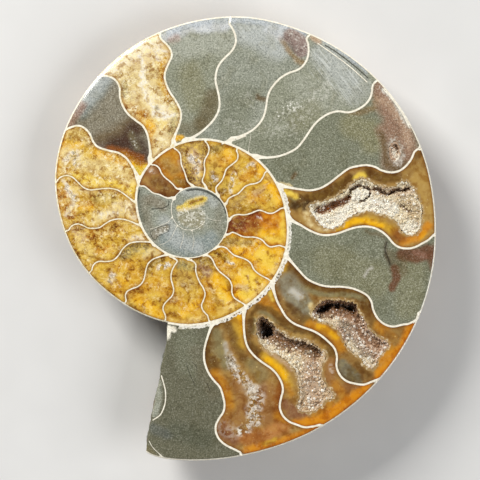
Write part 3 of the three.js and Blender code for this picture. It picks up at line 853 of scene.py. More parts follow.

# %% [markdown]
# ## Colours of the fillings
#
# Most colours are only pigment, so they are painted rather than raised. Each chamber has a ground
# colour and a few soft strokes over it, placed as a painter would: a line, how far it reaches and
# how soft its edge is. A few strokes on the upper chambers are painted sheen and glare of the
# polish instead. Noise bends the strokes, so none of them looks drawn. The shader later adds the
# fine grain that no hand could place.

# %% A painter's palette
# The sheen, glare and rim highlight colours are painted reflection of the polish, not pigment of the stone.
PALETTE = {
    "stone": "#7f816b", "dark stone": "#6c6a55", "deep stone": "#5b5e4d", "light stone": "#92947f",
    "olive": "#8b8764", "pale stone": "#adaf9f", "blue stone": "#8d9896", "sheen": "#bfc3bf",
    "stain": "#6b5533", "rust": "#84553a", "pink rust": "#a2745f", "maroon": "#472c20",
    "plum": "#776158", "honey": "#cc9f30", "gold": "#f1b510", "lemon": "#f4d353",
    "amber": "#bb7c1b", "burnt": "#8b4c12", "brown": "#664618", "umber": "#3f2b13",
    "taupe": "#857a55", "smoke": "#8b8570", "milk": "#c6c1b4", "cream": "#e4cf98",
    "white": "#f5f1e6", "rose": "#c8a88a", "orange": "#d58710", "fawn": "#94703a",
    "sand": "#77705a", "tan": "#b08c4a", "blush": "#dcc29c", "ivory": "#f0e1be", "frost": "#fdf6e2",
    "russet": "#976739", "clay": "#9c7861", "steel": "#b9c0c6", "slate blue": "#5c6466",
    "mahogany": "#8a3c0e", "bark": "#6e6040", "khaki": "#a27c40", "parchment": "#e0ca98",
    "glare": "#dcdfe2", "copper": "#b87a40", "mauve": "#978279", "topaz": "#cc9014",
    "straw": "#f0d07c", "slate": "#979a8a", "oat": "#a09b80", "brick": "#6f452c", "mink": "#8b836f",
}


def colour(code):
    """A colour code as the linear light values that Blender works with."""
    parts = np.array([int(code[k:k + 2], 16) for k in (1, 3, 5)]) / 255
    return np.where(parts <= 0.04045, parts / 12.92, ((parts + 0.055) / 1.055) ** 2.4)


print(len(PALETTE), "colours")

# %% How a chamber is filled
# The ground colour comes first, then how sugary the calcite is, where 0 is plain stone, then the
# strokes. Each stroke: (colour, strength, reach, softness, then x and y of each point of its line),
# in the photograph's pixels. "crystals" makes white grains, and "scratches" the wheel's marks.
PAINT = {}


def fill(chamber, ground, sugary, *strokes):
    PAINT[chamber] = ground, sugary, strokes


# %% Strokes of chambers 1 to 4
fill(1, "dark stone", 0, ("stone", 0.5, 12, 12, 186, 340, 190, 366),
     ("sand", 0.5, 7, 8, 196, 352, 204, 376, 214, 392), ("deep stone", 0.6, 9, 12, 176, 430, 204, 440),
     ("slate blue", 0.4, 5, 6, 152, 428, 166, 434),
     ("pale stone", 0.8, 4, 3, 157, 384, 158, 400, 155, 412),
     ("frost", 1.0, 3.4, 1.5, 168, 329, 173, 328.5), ("frost", 1.0, 2.8, 1.5, 168, 330, 167, 337),
     ("taupe", 0.6, 5, 5, 148, 450, 154, 457))
fill(2, "khaki", 0.06, ("brown", 0.9, 6, 6, 217, 322, 210, 332, 207, 340, 208, 354, 213, 367),
     ("gold", 0.9, 5, 6, 241, 316, 243, 330), ("honey", 0.8, 4, 6, 234, 320, 239, 336, 242, 346),
     ("brown", 0.7, 4, 6, 226, 322, 232, 334, 240, 354, 250, 364),
     ("taupe", 0.9, 6, 8, 218, 334, 219, 350, 226, 364),
     ("milk", 0.7, 3, 5, 225, 344, 228, 356, 234, 366),
     ("milk", 0.35, 5, 7, 246, 388, 256, 390, 262, 388),
     ("russet", 0.7, 6, 7, 236, 382, 241, 396, 243, 410, 238, 422),
     ("amber", 0.95, 5.5, 7, 214, 375, 222, 384, 227, 396, 229, 406),
     ("burnt", 0.6, 4, 6, 229, 412, 226, 424, 229, 434), ("taupe", 0.6, 7, 8, 252, 364, 262, 376),
     ("russet", 0.8, 8, 8, 266, 390, 264, 404, 267, 418), ("rust", 0.8, 8, 8, 222, 430, 234, 440),
     ("copper", 0.9, 7, 8, 246, 438, 262, 436, 282, 427),
     ("burnt", 0.9, 6, 6, 281, 388, 278, 398, 280, 418), ("amber", 0.8, 4, 6, 278, 414, 288, 421),
     ("orange", 0.9, 6, 6, 250, 451, 276, 446, 300, 436, 320, 428),
     ("honey", 0.9, 2, 3, 264, 444, 276, 439),
     ("crystals", 0.8, 4.5, 5, 229, 358, 237, 372, 246, 382, 253, 390),
     ("crystals", 0.85, 7, 6, 254, 391, 258, 399, 254, 410, 255, 420),
     ("crystals", 0.25, 7, 8, 220, 428, 234, 432), ("crystals", 1.0, 4, 4, 240, 431, 247, 428))
fill(3, "khaki", 0.05, ("amber", 0.9, 7, 7, 260, 297, 266, 303, 274, 312),
     ("lemon", 0.8, 2.5, 4, 272, 290, 275, 300),
     ("taupe", 0.9, 4, 5, 253, 330, 256, 317, 263, 313, 272, 319, 282, 328, 300, 336),
     ("brown", 0.85, 3.5, 4, 249, 336, 250, 318, 257, 307, 270, 309, 280, 319),
     ("brown", 0.85, 5, 5, 283, 322, 298, 331, 312, 334, 330, 344, 331, 354),
     ("tan", 0.85, 2.5, 4, 256, 315, 276, 325, 292, 335, 314, 340, 325, 348),
     ("brown", 0.9, 4, 5, 250, 344, 258, 354, 268, 359),
     ("rose", 0.6, 3, 3, 266, 351, 280, 358, 290, 368),
     ("honey", 1.0, 5, 7, 264, 358, 274, 365, 283, 374, 288, 384),
     ("gold", 1.0, 3, 5, 267, 360, 277, 367, 284, 376), ("amber", 0.8, 3, 6, 286, 384, 291, 394),
     ("rust", 0.85, 6, 6, 286, 404, 292, 412, 304, 417),
     ("russet", 0.8, 6, 7, 331, 364, 330, 378, 338, 392, 354, 385),
     ("amber", 0.7, 4, 6, 336, 384, 344, 396), ("amber", 0.8, 4, 5, 316, 414, 332, 404),
     ("orange", 1.0, 6, 5, 296, 425, 320, 421, 342, 408, 366, 389),
     ("crystals", 0.4, 2, 3, 331, 366, 333, 374))
fill(4, "fawn", 0.05, ("honey", 0.9, 6, 7, 276, 262, 282, 266),
     ("brown", 0.9, 5, 5, 290, 270, 304, 282, 320, 290, 340, 291, 358, 296, 368, 306),
     ("taupe", 0.9, 2.5, 3, 300, 286, 316, 294, 340, 295, 358, 296, 367, 299),
     ("taupe", 0.9, 9, 8, 296, 296, 306, 308, 316, 318),
     ("smoke", 0.9, 11, 8, 288, 284, 296, 296, 302, 306), ("milk", 0.9, 4, 7, 293, 291, 300, 297),
     ("cream", 0.8, 3, 3, 312, 306, 315, 313), ("brown", 0.8, 4, 4, 288, 306, 300, 317, 314, 321),
     ("amber", 1.0, 5, 7, 310, 325, 322, 328, 334, 336, 341, 348),
     ("gold", 0.7, 2.5, 4, 318, 326, 328, 330, 336, 338), ("fawn", 0.8, 4, 6, 344, 354, 350, 362),
     ("sand", 0.95, 8, 5, 342, 368, 352, 376, 356, 381), ("brown", 0.7, 3, 5, 358, 364, 368, 376),
     ("brown", 0.5, 5, 5, 366, 302, 369, 316, 376, 328),
     ("amber", 0.8, 5, 6, 378, 326, 392, 338, 390, 352), ("fawn", 0.8, 4, 5, 388, 334, 396, 344),
     ("orange", 1.0, 6, 6, 380, 375, 394, 362, 405, 346, 413, 328),
     ("orange", 0.7, 5, 5, 380, 360, 392, 356, 404, 346))
print("chambers filled:", len(PAINT))

# %% Strokes of chambers 5 to 8
fill(5, "stone", 0, ("olive", 0.5, 18, 16, 330, 262, 375, 280),
     ("olive", 0.5, 14, 12, 412, 270, 408, 304), ("brick", 0.9, 7, 5, 404, 255, 416, 256, 434, 251),
     ("pink rust", 0.5, 2, 4, 414, 253, 426, 257), ("brick", 0.8, 3.5, 4, 430, 256, 434, 268),
     ("brick", 0.9, 4, 3.5, 394, 268, 396, 277, 393, 288),
     ("stain", 0.45, 6, 5, 391, 256, 400, 262, 402, 272),
     ("umber", 0.65, 2, 3, 387, 242, 386, 256, 390, 264), ("stain", 0.5, 2, 3, 368, 231, 384, 237),
     ("milk", 0.8, 1.2, 2, 365, 276, 367, 270, 371, 267))
fill(6, "khaki", 0.05, ("brown", 1.0, 6, 6, 296, 203, 306, 200, 320, 196, 336, 190, 350, 180),
     ("umber", 0.8, 4, 5, 292, 206, 302, 210, 308, 204), ("taupe", 0.9, 4, 4, 284, 190, 294, 198),
     ("lemon", 0.9, 3, 4, 284, 192, 296, 197),
     ("tan", 0.8, 3, 4, 300, 212, 308, 222, 320, 232, 330, 233),
     ("cream", 0.9, 2.5, 4, 306, 214, 311, 225, 322, 232, 334, 231),
     ("brown", 0.9, 5, 5, 368, 172, 386, 179, 398, 178),
     ("lemon", 0.8, 2.5, 3.5, 355, 178, 360, 175, 364, 175),
     ("tan", 1.0, 10, 8, 414, 172, 424, 184, 430, 206, 430, 226, 422, 240, 404, 242),
     ("fawn", 0.7, 5, 6, 404, 176, 414, 166, 422, 166), ("gold", 0.9, 2.5, 4, 425, 233, 421, 238),
     ("orange", 0.8, 4, 4, 428, 226, 418, 238, 404, 242), ("amber", 0.9, 5, 5, 336, 231, 346, 227),
     ("honey", 1.0, 4, 5, 340, 230, 352, 222, 368, 220, 384, 224, 392, 230),
     ("gold", 1.0, 3, 4, 346, 227, 354, 221, 368, 222, 382, 225),
     ("burnt", 0.8, 4, 5, 394, 232, 402, 240), ("stain", 0.6, 3, 4, 416, 158, 421, 153))
fill(7, "stone", 0, ("olive", 0.8, 12, 12, 352, 126, 368, 130, 372, 142),
     ("fawn", 0.5, 3, 5, 352, 113, 366, 110, 376, 108, 376, 96),
     ("clay", 0.9, 10, 12, 382, 88, 388, 108, 396, 122, 406, 138, 410, 154),
     ("clay", 0.8, 9, 10, 386, 132, 390, 146, 390, 162, 402, 166),
     ("stain", 0.8, 3.5, 6, 381, 134, 385, 148, 386, 164, 398, 169, 405, 164),
     ("rose", 0.5, 4, 6, 378, 100, 388, 104, 396, 112, 405, 126, 410, 146),
     ("milk", 0.9, 1.5, 2, 382, 88, 391, 98, 401, 112, 409, 127),
     ("crystals", 1.0, 3, 3, 381, 87, 390, 97, 400, 111, 408, 126),
     ("milk", 0.5, 6, 6, 394, 146, 397, 158), ("crystals", 0.9, 8, 6, 394, 144, 397, 158),
     ("stain", 0.9, 2, 3, 293, 177, 296, 173), ("cream", 0.9, 2, 2, 280, 184, 290, 186))
# Chamber 8: paler at the top, partly stone and partly painted sheen; its sheen and rim strokes are painted
# reflection.
fill(8, "light stone", 0, ("sheen", 0.65, 14, 18, 324, 56, 340, 72, 356, 90),
     ("pale stone", 0.5, 12, 16, 300, 84, 330, 104),
     ("stone", 0.7, 12, 12, 262, 146, 284, 146, 300, 132), ("olive", 0.4, 12, 12, 312, 112, 300, 120),
     ("rose", 0.8, 3, 3, 313, 37, 319, 41), ("steel", 0.8, 1.5, 2, 324, 40, 338, 49, 352, 59, 366, 72),
     ("crystals", 1.0, 6, 9, 282, 114, 290, 109, 298, 106),
     ("crystals", 0.6, 6, 9, 312, 98, 326, 92, 328, 80),
     ("crystals", 0.4, 8, 10, 272, 130, 292, 128, 306, 112),
     ("scratches", 1.0, 15, 16, 324, 62, 352, 90))
print("chambers filled:", len(PAINT))

# %% Strokes of chambers 9 to 12
# Chamber 9: lighter at the top and darker towards the bottom; its sheen, glare and rim strokes are painted
# reflection.
fill(9, "slate", 0, ("sheen", 0.8, 13, 16, 240, 28, 262, 36, 276, 46),
     ("stone", 0.7, 16, 18, 240, 100, 232, 124),
     ("steel", 0.8, 3, 3, 232, 20, 256, 21, 280, 25, 304, 33),
     ("fawn", 0.7, 2.5, 4, 281, 38, 287, 48, 295, 57, 302, 63),
     ("glare", 0.6, 6, 8, 270, 30, 280, 34, 288, 30), ("mauve", 1.0, 7.5, 3, 291, 36, 299, 40, 303, 50),
     ("plum", 0.6, 3, 4, 286, 37, 292, 46, 300, 53),
     ("crystals", 0.55, 7, 4, 293, 36, 301, 40, 305, 50),
     ("crystals", 0.4, 6, 8, 247, 98, 256, 106, 264, 108),
     ("crystals", 0.5, 5, 8, 230, 122, 244, 130, 262, 122), ("stain", 0.8, 2.5, 3, 257, 97, 264, 100),
     ("scratches", 0.6, 10, 12, 246, 34, 268, 44))
# Chamber 10: paler along the top, partly stone and partly painted sheen; glare and rim strokes are painted
# reflection.
fill(10, "light stone", 0, ("pale stone", 0.9, 14, 16, 180, 46, 206, 38, 226, 42),
     ("glare", 0.8, 5, 7, 162, 38, 174, 34, 188, 28, 206, 27, 226, 26),
     ("steel", 0.8, 3, 3, 168, 32, 190, 25, 210, 21, 229, 19),
     ("olive", 0.6, 12, 12, 190, 74, 196, 100), ("bark", 0.55, 7, 9, 184, 128, 194, 132, 200, 126),
     ("bark", 0.75, 8, 10, 213, 96, 209, 110, 202, 122), ("pink rust", 0.5, 3, 5, 170, 40, 178, 37),
     ("gold", 0.9, 3, 3, 177, 139, 183, 138))
# Chamber 11: the frost stroke along the upper-left rim, from (104, 74), is painted glare of the polish.
fill(11, "parchment", 0.8, ("blush", 0.9, 10, 10, 142, 56, 156, 50, 166, 60),
     ("tan", 0.35, 6, 10, 128, 90, 140, 70, 156, 66, 160, 88),
     ("frost", 0.8, 9, 10, 104, 74, 122, 58, 142, 44, 158, 37),
     ("lemon", 0.5, 5, 6, 140, 88, 148, 104, 164, 124),
     ("frost", 0.6, 7, 8, 142, 92, 152, 102, 164, 112), ("taupe", 0.6, 4, 5, 124, 84, 126, 100),
     ("honey", 1.0, 5, 5, 164, 62, 163, 82, 168, 98), ("topaz", 0.8, 3, 4, 163, 62, 163, 80, 166, 92),
     ("amber", 0.55, 5, 6, 124, 103, 136, 110), ("topaz", 0.9, 6, 7, 142, 116, 150, 128, 154, 138),
     ("gold", 0.9, 5, 6, 150, 124, 154, 146), ("parchment", 0.8, 5, 5, 158, 136, 155, 150, 164, 148),
     ("taupe", 0.7, 4, 5, 174, 104, 176, 120, 172, 132), ("umber", 0.8, 1.4, 1.5, 142, 75, 144, 77),
     ("umber", 0.7, 2, 2, 155, 105, 157, 108),
     ("white", 1.0, 2.2, 2, 139, 56, 144, 68, 141, 76, 145, 80, 140, 86, 146, 96, 153, 106),
     ("white", 1.0, 4, 4, 155, 113, 164, 115, 172, 114),
     ("white", 0.7, 1.5, 2, 155, 52, 160, 48, 164, 54, 159, 60, 155, 54))
# Chamber 12: the blue stone and sheen strokes at the top left are painted sheen of the polish.
fill(12, "mink", 0, ("blue stone", 0.7, 8, 10, 104, 82, 92, 96, 82, 110),
     ("sheen", 0.7, 5, 8, 106, 80, 98, 88, 88, 100),
     ("pink rust", 0.6, 4, 6, 70, 124, 77, 113, 83, 105),
     ("stain", 0.75, 8, 12, 98, 142, 114, 136, 132, 124, 140, 126),
     ("plum", 0.5, 3, 5, 98, 146, 108, 148), ("maroon", 0.9, 8, 12, 114, 145, 126, 140, 134, 130),
     ("maroon", 0.8, 9, 9, 128, 146, 138, 148, 145, 158),
     ("burnt", 1.0, 4, 5, 110, 149, 124, 153, 134, 157, 142, 159),
     ("amber", 1.0, 3, 4, 122, 155, 131, 160, 140, 165, 147, 165),
     ("gold", 1.0, 3, 3, 132, 164, 139, 169, 146, 167),
     ("lemon", 1.0, 3.5, 3, 136, 169, 140, 176, 146, 168),
     ("taupe", 0.5, 3, 5, 131, 134, 134, 142, 138, 148),
     ("crystals", 0.75, 2.2, 3.5, 131, 133, 133, 139, 136, 146))
print("chambers filled:", len(PAINT))

# %% Strokes of chambers 13 to 18
fill(13, "honey", 0.75, ("tan", 0.8, 6, 7, 70, 134, 80, 132, 88, 142),
     ("cream", 0.7, 6, 7, 66, 152, 74, 156, 84, 164, 95, 168), ("gold", 0.6, 4, 6, 66, 146, 80, 146),
     ("amber", 0.6, 4, 5, 60, 166, 66, 171, 76, 174),
     ("cream", 0.6, 8, 9, 104, 164, 118, 168, 126, 178),
     ("gold", 0.7, 4, 5, 96, 153, 112, 157, 124, 164), ("amber", 0.6, 3, 5, 116, 186, 126, 186),
     ("lemon", 0.9, 3.5, 4, 120, 188, 128, 192, 134, 196, 134, 184),
     ("lemon", 0.9, 4, 5, 72, 176, 84, 179, 100, 184, 114, 184),
     ("crystals", 0.7, 3, 4, 66, 160, 74, 152, 76, 164))
fill(14, "honey", 0.7, ("amber", 1.0, 6, 4, 62, 194, 64, 206, 70, 214),
     ("amber", 1.0, 5, 3, 82, 205, 90, 207), ("gold", 0.7, 2.5, 3, 80, 208, 92, 210),
     ("taupe", 0.5, 6, 7, 96, 199, 112, 198), ("cream", 0.8, 4, 5, 82, 189, 92, 189),
     ("cream", 0.8, 5, 6, 98, 218, 112, 213, 128, 212, 134, 206),
     ("frost", 0.6, 5, 6, 118, 206, 128, 206, 134, 215), ("burnt", 0.8, 1.8, 2, 109, 207, 112, 212),
     ("white", 0.8, 2, 3, 62, 180, 71, 190, 73, 202, 66, 216), ("white", 0.7, 3, 3, 102, 216, 116, 214),
     ("crystals", 0.8, 4, 5, 68, 188, 74, 198))
fill(15, "honey", 0.65, ("rose", 0.7, 5, 5, 76, 230, 82, 238),
     ("amber", 0.9, 6, 6, 92, 236, 104, 230, 120, 226),
     ("brown", 0.4, 4, 6, 98, 232, 112, 227, 124, 223), ("tan", 0.7, 5, 6, 84, 248, 92, 254),
     ("orange", 0.5, 4, 6, 98, 250, 110, 250), ("frost", 0.8, 4, 5, 134, 240, 142, 238, 150, 240),
     ("lemon", 0.7, 3, 4, 140, 228, 150, 240), ("brown", 0.5, 2.5, 4, 64, 234, 72, 250, 84, 268))
fill(16, "honey", 0.45, ("taupe", 0.8, 6, 6, 124, 254, 136, 248, 150, 250),
     ("brown", 0.6, 3, 4, 122, 254, 132, 247, 146, 245),
     ("topaz", 0.85, 6, 7, 119, 266, 132, 266, 136, 280, 122, 284, 114, 292),
     ("gold", 0.5, 3, 4, 120, 278, 132, 284), ("brown", 0.6, 2.5, 4, 88, 272, 102, 288, 121, 303),
     ("cream", 0.8, 4, 4, 145, 256, 152, 250, 158, 252), ("crystals", 0.8, 3, 4, 109, 281, 113, 275))
fill(17, "honey", 0.4, ("brown", 0.7, 4, 5, 148, 268, 152, 262, 162, 259),
     ("topaz", 0.9, 7, 8, 134, 296, 144, 288, 155, 282, 168, 290),
     ("burnt", 0.6, 4, 5, 128, 296, 140, 293), ("gold", 0.8, 5, 6, 140, 300, 152, 308, 160, 314),
     ("brown", 0.5, 2.5, 4, 124, 298, 136, 312, 152, 321),
     ("crystals", 0.95, 3.5, 3, 160, 268, 167, 265))
fill(18, "honey", 0.35, ("taupe", 0.9, 5, 6, 180, 264, 192, 266),
     ("tan", 0.8, 7, 7, 182, 276, 190, 282),
     ("topaz", 0.9, 5, 6, 172, 300, 180, 302, 196, 314, 204, 296),
     ("burnt", 0.8, 3, 4, 170, 300, 174, 296), ("straw", 0.8, 2.5, 3, 170, 322, 186, 322, 204, 318),
     ("gold", 0.8, 4, 6, 182, 314, 196, 304), ("crystals", 0.5, 2.5, 3, 182, 308, 184, 304))
print("chambers filled:", len(PAINT))

# %% Strokes of chambers 19 to 23
fill(19, "honey", 0.35, ("rust", 0.9, 5, 6, 198, 262, 206, 270, 210, 280),
     ("rose", 0.5, 3, 4, 204, 268, 210, 276), ("brown", 0.7, 4, 5, 193, 258, 203, 259, 212, 262),
     ("gold", 1.0, 7, 7, 216, 280, 222, 290, 226, 300),
     ("burnt", 0.8, 3, 4, 212, 294, 216, 301, 222, 303),
     ("topaz", 1.0, 5, 6, 206, 284, 208, 298, 211, 310),
     ("straw", 0.8, 3, 5, 220, 312, 230, 308, 238, 301), ("lemon", 0.7, 3, 5, 226, 302, 220, 292))
fill(20, "gold", 0.45, ("brown", 0.7, 5, 6, 214, 253, 226, 258),
     ("amber", 0.7, 5, 5, 217, 264, 230, 274), ("lemon", 0.8, 7, 8, 246, 272, 256, 284, 246, 292),
     ("rose", 0.6, 3, 4, 238, 286, 246, 288), ("topaz", 0.8, 5, 6, 236, 268, 247, 264),
     ("straw", 0.9, 3.5, 5, 244, 305, 256, 297, 266, 287),
     ("crystals", 0.9, 2.2, 2.5, 229, 262, 233, 264))
fill(21, "gold", 0.4, ("fawn", 0.9, 4, 5, 222, 240, 236, 241, 250, 242),
     ("brown", 0.5, 3, 4, 220, 243, 232, 244), ("lemon", 0.7, 7, 8, 262, 256, 272, 262),
     ("orange", 0.7, 3.5, 5, 244, 252, 252, 249), ("straw", 0.9, 3, 5, 272, 274, 280, 264, 285, 254))
fill(22, "orange", 0.2, ("gold", 0.9, 5, 6, 258, 236, 270, 234, 282, 234),
     ("lemon", 0.8, 3.5, 6, 264, 239, 284, 241, 284, 226, 284, 211),
     ("burnt", 0.8, 5, 6, 244, 231, 256, 229), ("mahogany", 1.0, 9, 5, 231, 226, 243, 223, 254, 218),
     ("maroon", 0.4, 5, 6, 232, 226, 242, 223), ("orange", 0.9, 5, 5, 264, 221, 278, 220),
     ("cream", 0.9, 2, 3, 230, 218, 236, 215), ("crystals", 0.6, 1.5, 2, 257, 217, 261, 219))
fill(23, "honey", 0.35, ("tan", 0.9, 6, 6, 232, 204, 242, 196),
     ("brown", 0.3, 4, 5, 231, 211, 242, 209, 256, 207), ("straw", 0.9, 3, 4, 265, 174, 274, 184),
     ("orange", 0.5, 5, 7, 252, 198, 262, 200), ("gold", 1.0, 5, 6, 268, 186, 276, 192, 280, 202),
     ("rose", 0.6, 3, 4, 256, 194, 264, 188))
print("chambers filled:", len(PAINT))

# %% Strokes of chambers 24 to 28
fill(24, "honey", 0.4, ("brown", 0.6, 4, 6, 221, 192, 225, 184),
     ("burnt", 0.7, 3.5, 4, 229, 172, 238, 168), ("orange", 0.6, 4, 5, 244, 178, 254, 172),
     ("gold", 1.0, 4, 5, 256, 160, 262, 168, 262, 176), ("straw", 0.9, 3, 4, 237, 150, 246, 154),
     ("crystals", 0.9, 2, 2.5, 235, 174, 232, 182, 230, 190),
     ("crystals", 0.7, 2.5, 3, 246, 168, 253, 164))
fill(25, "honey", 0.35, ("taupe", 0.7, 4, 5, 212, 150, 222, 148),
     ("brown", 0.6, 4, 6, 208, 182, 214, 186, 213, 176), ("gold", 0.8, 5, 6, 226, 152, 232, 160),
     ("amber", 0.8, 4, 5, 206, 160, 217, 161), ("tan", 0.7, 4, 5, 212, 170, 218, 166),
     ("orange", 0.5, 4, 5, 222, 164, 228, 160), ("crystals", 0.7, 2, 3, 216, 180, 213, 174))
fill(26, "fawn", 0.5, ("rose", 0.8, 5, 6, 192, 152, 198, 166, 196, 180),
     ("tan", 0.8, 3, 4, 184, 149, 193, 146, 203, 146), ("crystals", 1.0, 4, 4, 191, 157, 197, 161),
     ("crystals", 0.75, 2.5, 3, 196, 166, 197, 173), ("brown", 0.7, 3, 4, 191, 180, 199, 180))
fill(27, "amber", 0.15, ("burnt", 0.5, 4, 6, 156, 164, 160, 160),
     ("tan", 0.8, 5, 7, 166, 162, 174, 172, 180, 168), ("rose", 0.6, 2, 4, 180, 162, 183, 170),
     ("brown", 0.7, 4, 5, 178, 182, 188, 184))
fill(28, "russet", 0.1, ("rose", 0.7, 3, 4, 148, 168, 155, 171), ("tan", 0.5, 3, 4, 144, 180, 150, 184),
     ("brown", 0.6, 6, 8, 156, 182, 172, 194), ("crystals", 0.95, 1.8, 2, 151, 172, 154, 172))
print("chambers filled:", len(PAINT))

# %% Strokes of the grey core
# The core's two sheen strokes are painted sheen that lightens it.
fill(29, "slate", 0, ("blue stone", 0.8, 9, 10, 168, 238, 190, 249, 210, 240),
     ("mink", 0.3, 5, 8, 220, 206, 219, 226), ("mink", 0.6, 5, 7, 144, 200, 147, 222, 154, 238),
     ("sheen", 0.5, 4, 6, 184, 192, 202, 192, 214, 203),
     ("sheen", 0.6, 6, 8, 164, 220, 178, 240, 198, 248),
     ("deep stone", 0.5, 2, 4, 140, 190, 139, 204, 143, 220), ("mink", 0.9, 6, 5, 152, 200, 162, 205),
     ("oat", 1.0, 11, 4, 188, 216, 194, 218), ("lemon", 0.9, 2, 2, 178, 207, 206, 198),
     ("lemon", 0.9, 4.6, 2.5, 187, 205, 202, 200),
     ("cream", 1.0, 1.4, 2, 178, 209, 190, 209.5, 204, 205),
     ("cream", 0.7, 0.8, 2, 185, 202, 195, 197, 205, 195),
     ("burnt", 0.85, 1.6, 2.5, 189, 203.5, 196, 201.5, 203, 199),
     ("mink", 1.0, 3.6, 2.5, 155, 236, 160, 231, 166, 228),
     ("crystals", 0.9, 11, 4, 186, 217, 198, 218), ("crystals", 1.0, 4, 2, 155, 234, 165, 229))
print("chambers filled:", len(PAINT))

# %% Lay the strokes
DRIFT = 1.4
DRIFT_SIZE = 2.8 * MM
FINE_DRIFT = 0.8
FINE_DRIFT_SIZE = 0.9 * MM


def distance_to_path(points, path):
    """Distance to a line through a few points, all in pixels: pairs, or x and y in turn."""
    path = np.reshape(path, (-1, 2)).astype(float)
    best = np.full(len(points), np.inf)
    for a, b in zip(path[:-1], path[1:]):
        span = b - a
        t = np.clip(((points - a) @ span) / (span @ span), 0, 1)
        best = np.minimum(best, np.hypot(*(points - a - t[:, None] * span).T))
    return best


def painted(ground, strokes, places):
    """The ground colour with strokes over it, the share of crystals and the share of scratches."""
    bend = np.stack([DRIFT * cloud(places, DRIFT_SIZE, k)
                     + FINE_DRIFT * cloud(places, FINE_DRIFT_SIZE, k + 2) for k in (0, 1)], axis=1)
    pixels = in_pixels(places) + bend
    tint = np.tile(colour(PALETTE[ground]), (len(places), 1))
    marks = {"crystals": np.zeros(len(places)), "scratches": np.zeros(len(places))}
    for name, strength, reach, softness, *path in strokes:
        gap = distance_to_path(pixels, path)
        cover = strength * (1 - smoothstep(gap, reach - softness / 2, reach + softness / 2))
        if name in marks:
            marks[name] = np.maximum(marks[name], cover)
        else:
            tint += (colour(PALETTE[name]) - tint) * cover[:, None]
    return tint, marks["crystals"], marks["scratches"]


print("painted", sum(len(strokes) for _, _, strokes in PAINT.values()), "strokes")

# %% [markdown]
# ## Distances that sharpen the lines
#
# A colour stored on points can never be sharper than the mesh. A distance can: it changes evenly
# across a triangle, so the shader can cut it at any value and get a clean edge. Each point keeps
# its distance to the nearest septum or wall, less half the thickness of that line.

# %% Signed distance to the nearest white line
SAMPLE_STEP = 0.06 * MM
OUTER_SEPTUM = 0.29 * MM
INNER_SEPTUM = 0.19 * MM
INNER_WHORL_SEPTA = 13
INNER_FLARE, INNER_FLARE_LENGTH = 0.45 * MM, 0.8 * MM
OUTER_FLARE, OUTER_FLARE_LENGTH = 1.0 * MM, 1.4 * MM
COIL_WALL = 0.32 * MM
CORE_WALL = 0.15 * MM
CORE_WALL_FROM = 630.0
FAINT_WALL = (800.0, 900.0)
THINNING_SPAN = 60.0
FAINT_SHARE = 0.45
SHELL_RIM = 0.38 * MM
WALL_SAMPLES = 9000
WALL_OVERLAP = 4


def flared(number, line):
    """Samples of a septum and half its width. It flares where it leaves the inner wall."""
    outer = number < INNER_WHORL_SEPTA
    half = OUTER_SEPTUM if outer else INNER_SEPTUM
    flare, reach = (OUTER_FLARE, OUTER_FLARE_LENGTH) if outer else (INNER_FLARE, INNER_FLARE_LENGTH)
    samples = smooth_line(line, SAMPLE_STEP)
    along = SAMPLE_STEP * np.arange(len(samples))
    return samples, half, flare * np.exp(-along / reach)


def even(samples, half):
    return samples, half, np.zeros(len(samples))


# Each pale line: (samples, half its width, flare), and the chambers beside it, where the flare shows.
pale_lines = [(flared(n, line), (n, n + 1)) for n, line in septa_on_face.items()]
for half, line in fine_lines + [(SHELL_RIM, outline[:COLUMNS])]:
    pale_lines.append((even(smooth_line(line, SAMPLE_STEP), half), ()))
wall_samples = np.linspace(column_angles[-1] - WALL_OVERLAP, WALL_END, WALL_SAMPLES)
wall_line = plan_place(wall_samples, wall_radius(wall_samples))
thinning = smoothstep(wall_samples, CORE_WALL_FROM - THINNING_SPAN, CORE_WALL_FROM)
thinning += FAINT_SHARE * smoothstep(wall_samples, *FAINT_WALL)
pale_lines.append((even(wall_line, COIL_WALL + (CORE_WALL - COIL_WALL) * thinning), ()))
point_chambers = chamber_of(face_places)


def gap_to_lines(lines):
    """Distance from each face point to the nearest line, less half that line's width."""
    gaps = np.full(len(face_places), np.inf)
    for (samples, half, flare), beside in lines:
        gap, nearest = distance_to(face_places, samples)
        half = np.broadcast_to(half, len(samples))[nearest]
        gaps = np.minimum(gaps, gap - half - flare[nearest] * np.isin(point_chambers, beside))
    return gaps


line_gaps = gap_to_lines(pale_lines)
crack_gaps = gap_to_lines([(even(smooth_line(line, SAMPLE_STEP), half), ()) for half, line in cracks])
print("distances from", (line_gaps.min() / MM).round(2), "to", (line_gaps.max() / MM).round(1), "mm")

# %% Distance outside the beaded stretch of the inner wall
FAR_OFF = 9.0
BEADS_FROM, BEADS_TO = 264.0, 376.0
OPEN_BEADS = [(236, 317), (250, 307), (262, 292), (270, 280)]
OPEN_BEADS_REACH = (8, 16)
gap, nearest = distance_to(face_places, wall_line)
outward = gap * np.sign(np.hypot(*face_places.T) - np.hypot(*wall_line.T)[nearest])
beaded = (wall_samples > BEADS_FROM) & (wall_samples < BEADS_TO)
bead_places = np.where(beaded[nearest] & (outward > 0), outward / MM, FAR_OFF)
open_beads = 1 - smoothstep(distance_to_path(in_pixels(face_places), OPEN_BEADS), *OPEN_BEADS_REACH)
print("beads may touch", int((bead_places < 2).sum()), "points")

# %% [markdown]
# ## Putting the body together
#
# Face, back and break become one mesh. Each keeps a material of its own, and the points that they
# share are welded, so the body is closed like the real stone.

# %% Mesh helpers
def make_mesh(name, places, faces):
    mesh = bpy.data.meshes.new(name)
    mesh.from_pydata(places.tolist(), [], [list(map(int, f)) for f in faces])
    mesh.transform(LAY_DOWN)
    piece = bpy.data.objects.new(name, mesh)
    bpy.context.scene.collection.objects.link(piece)
    return piece


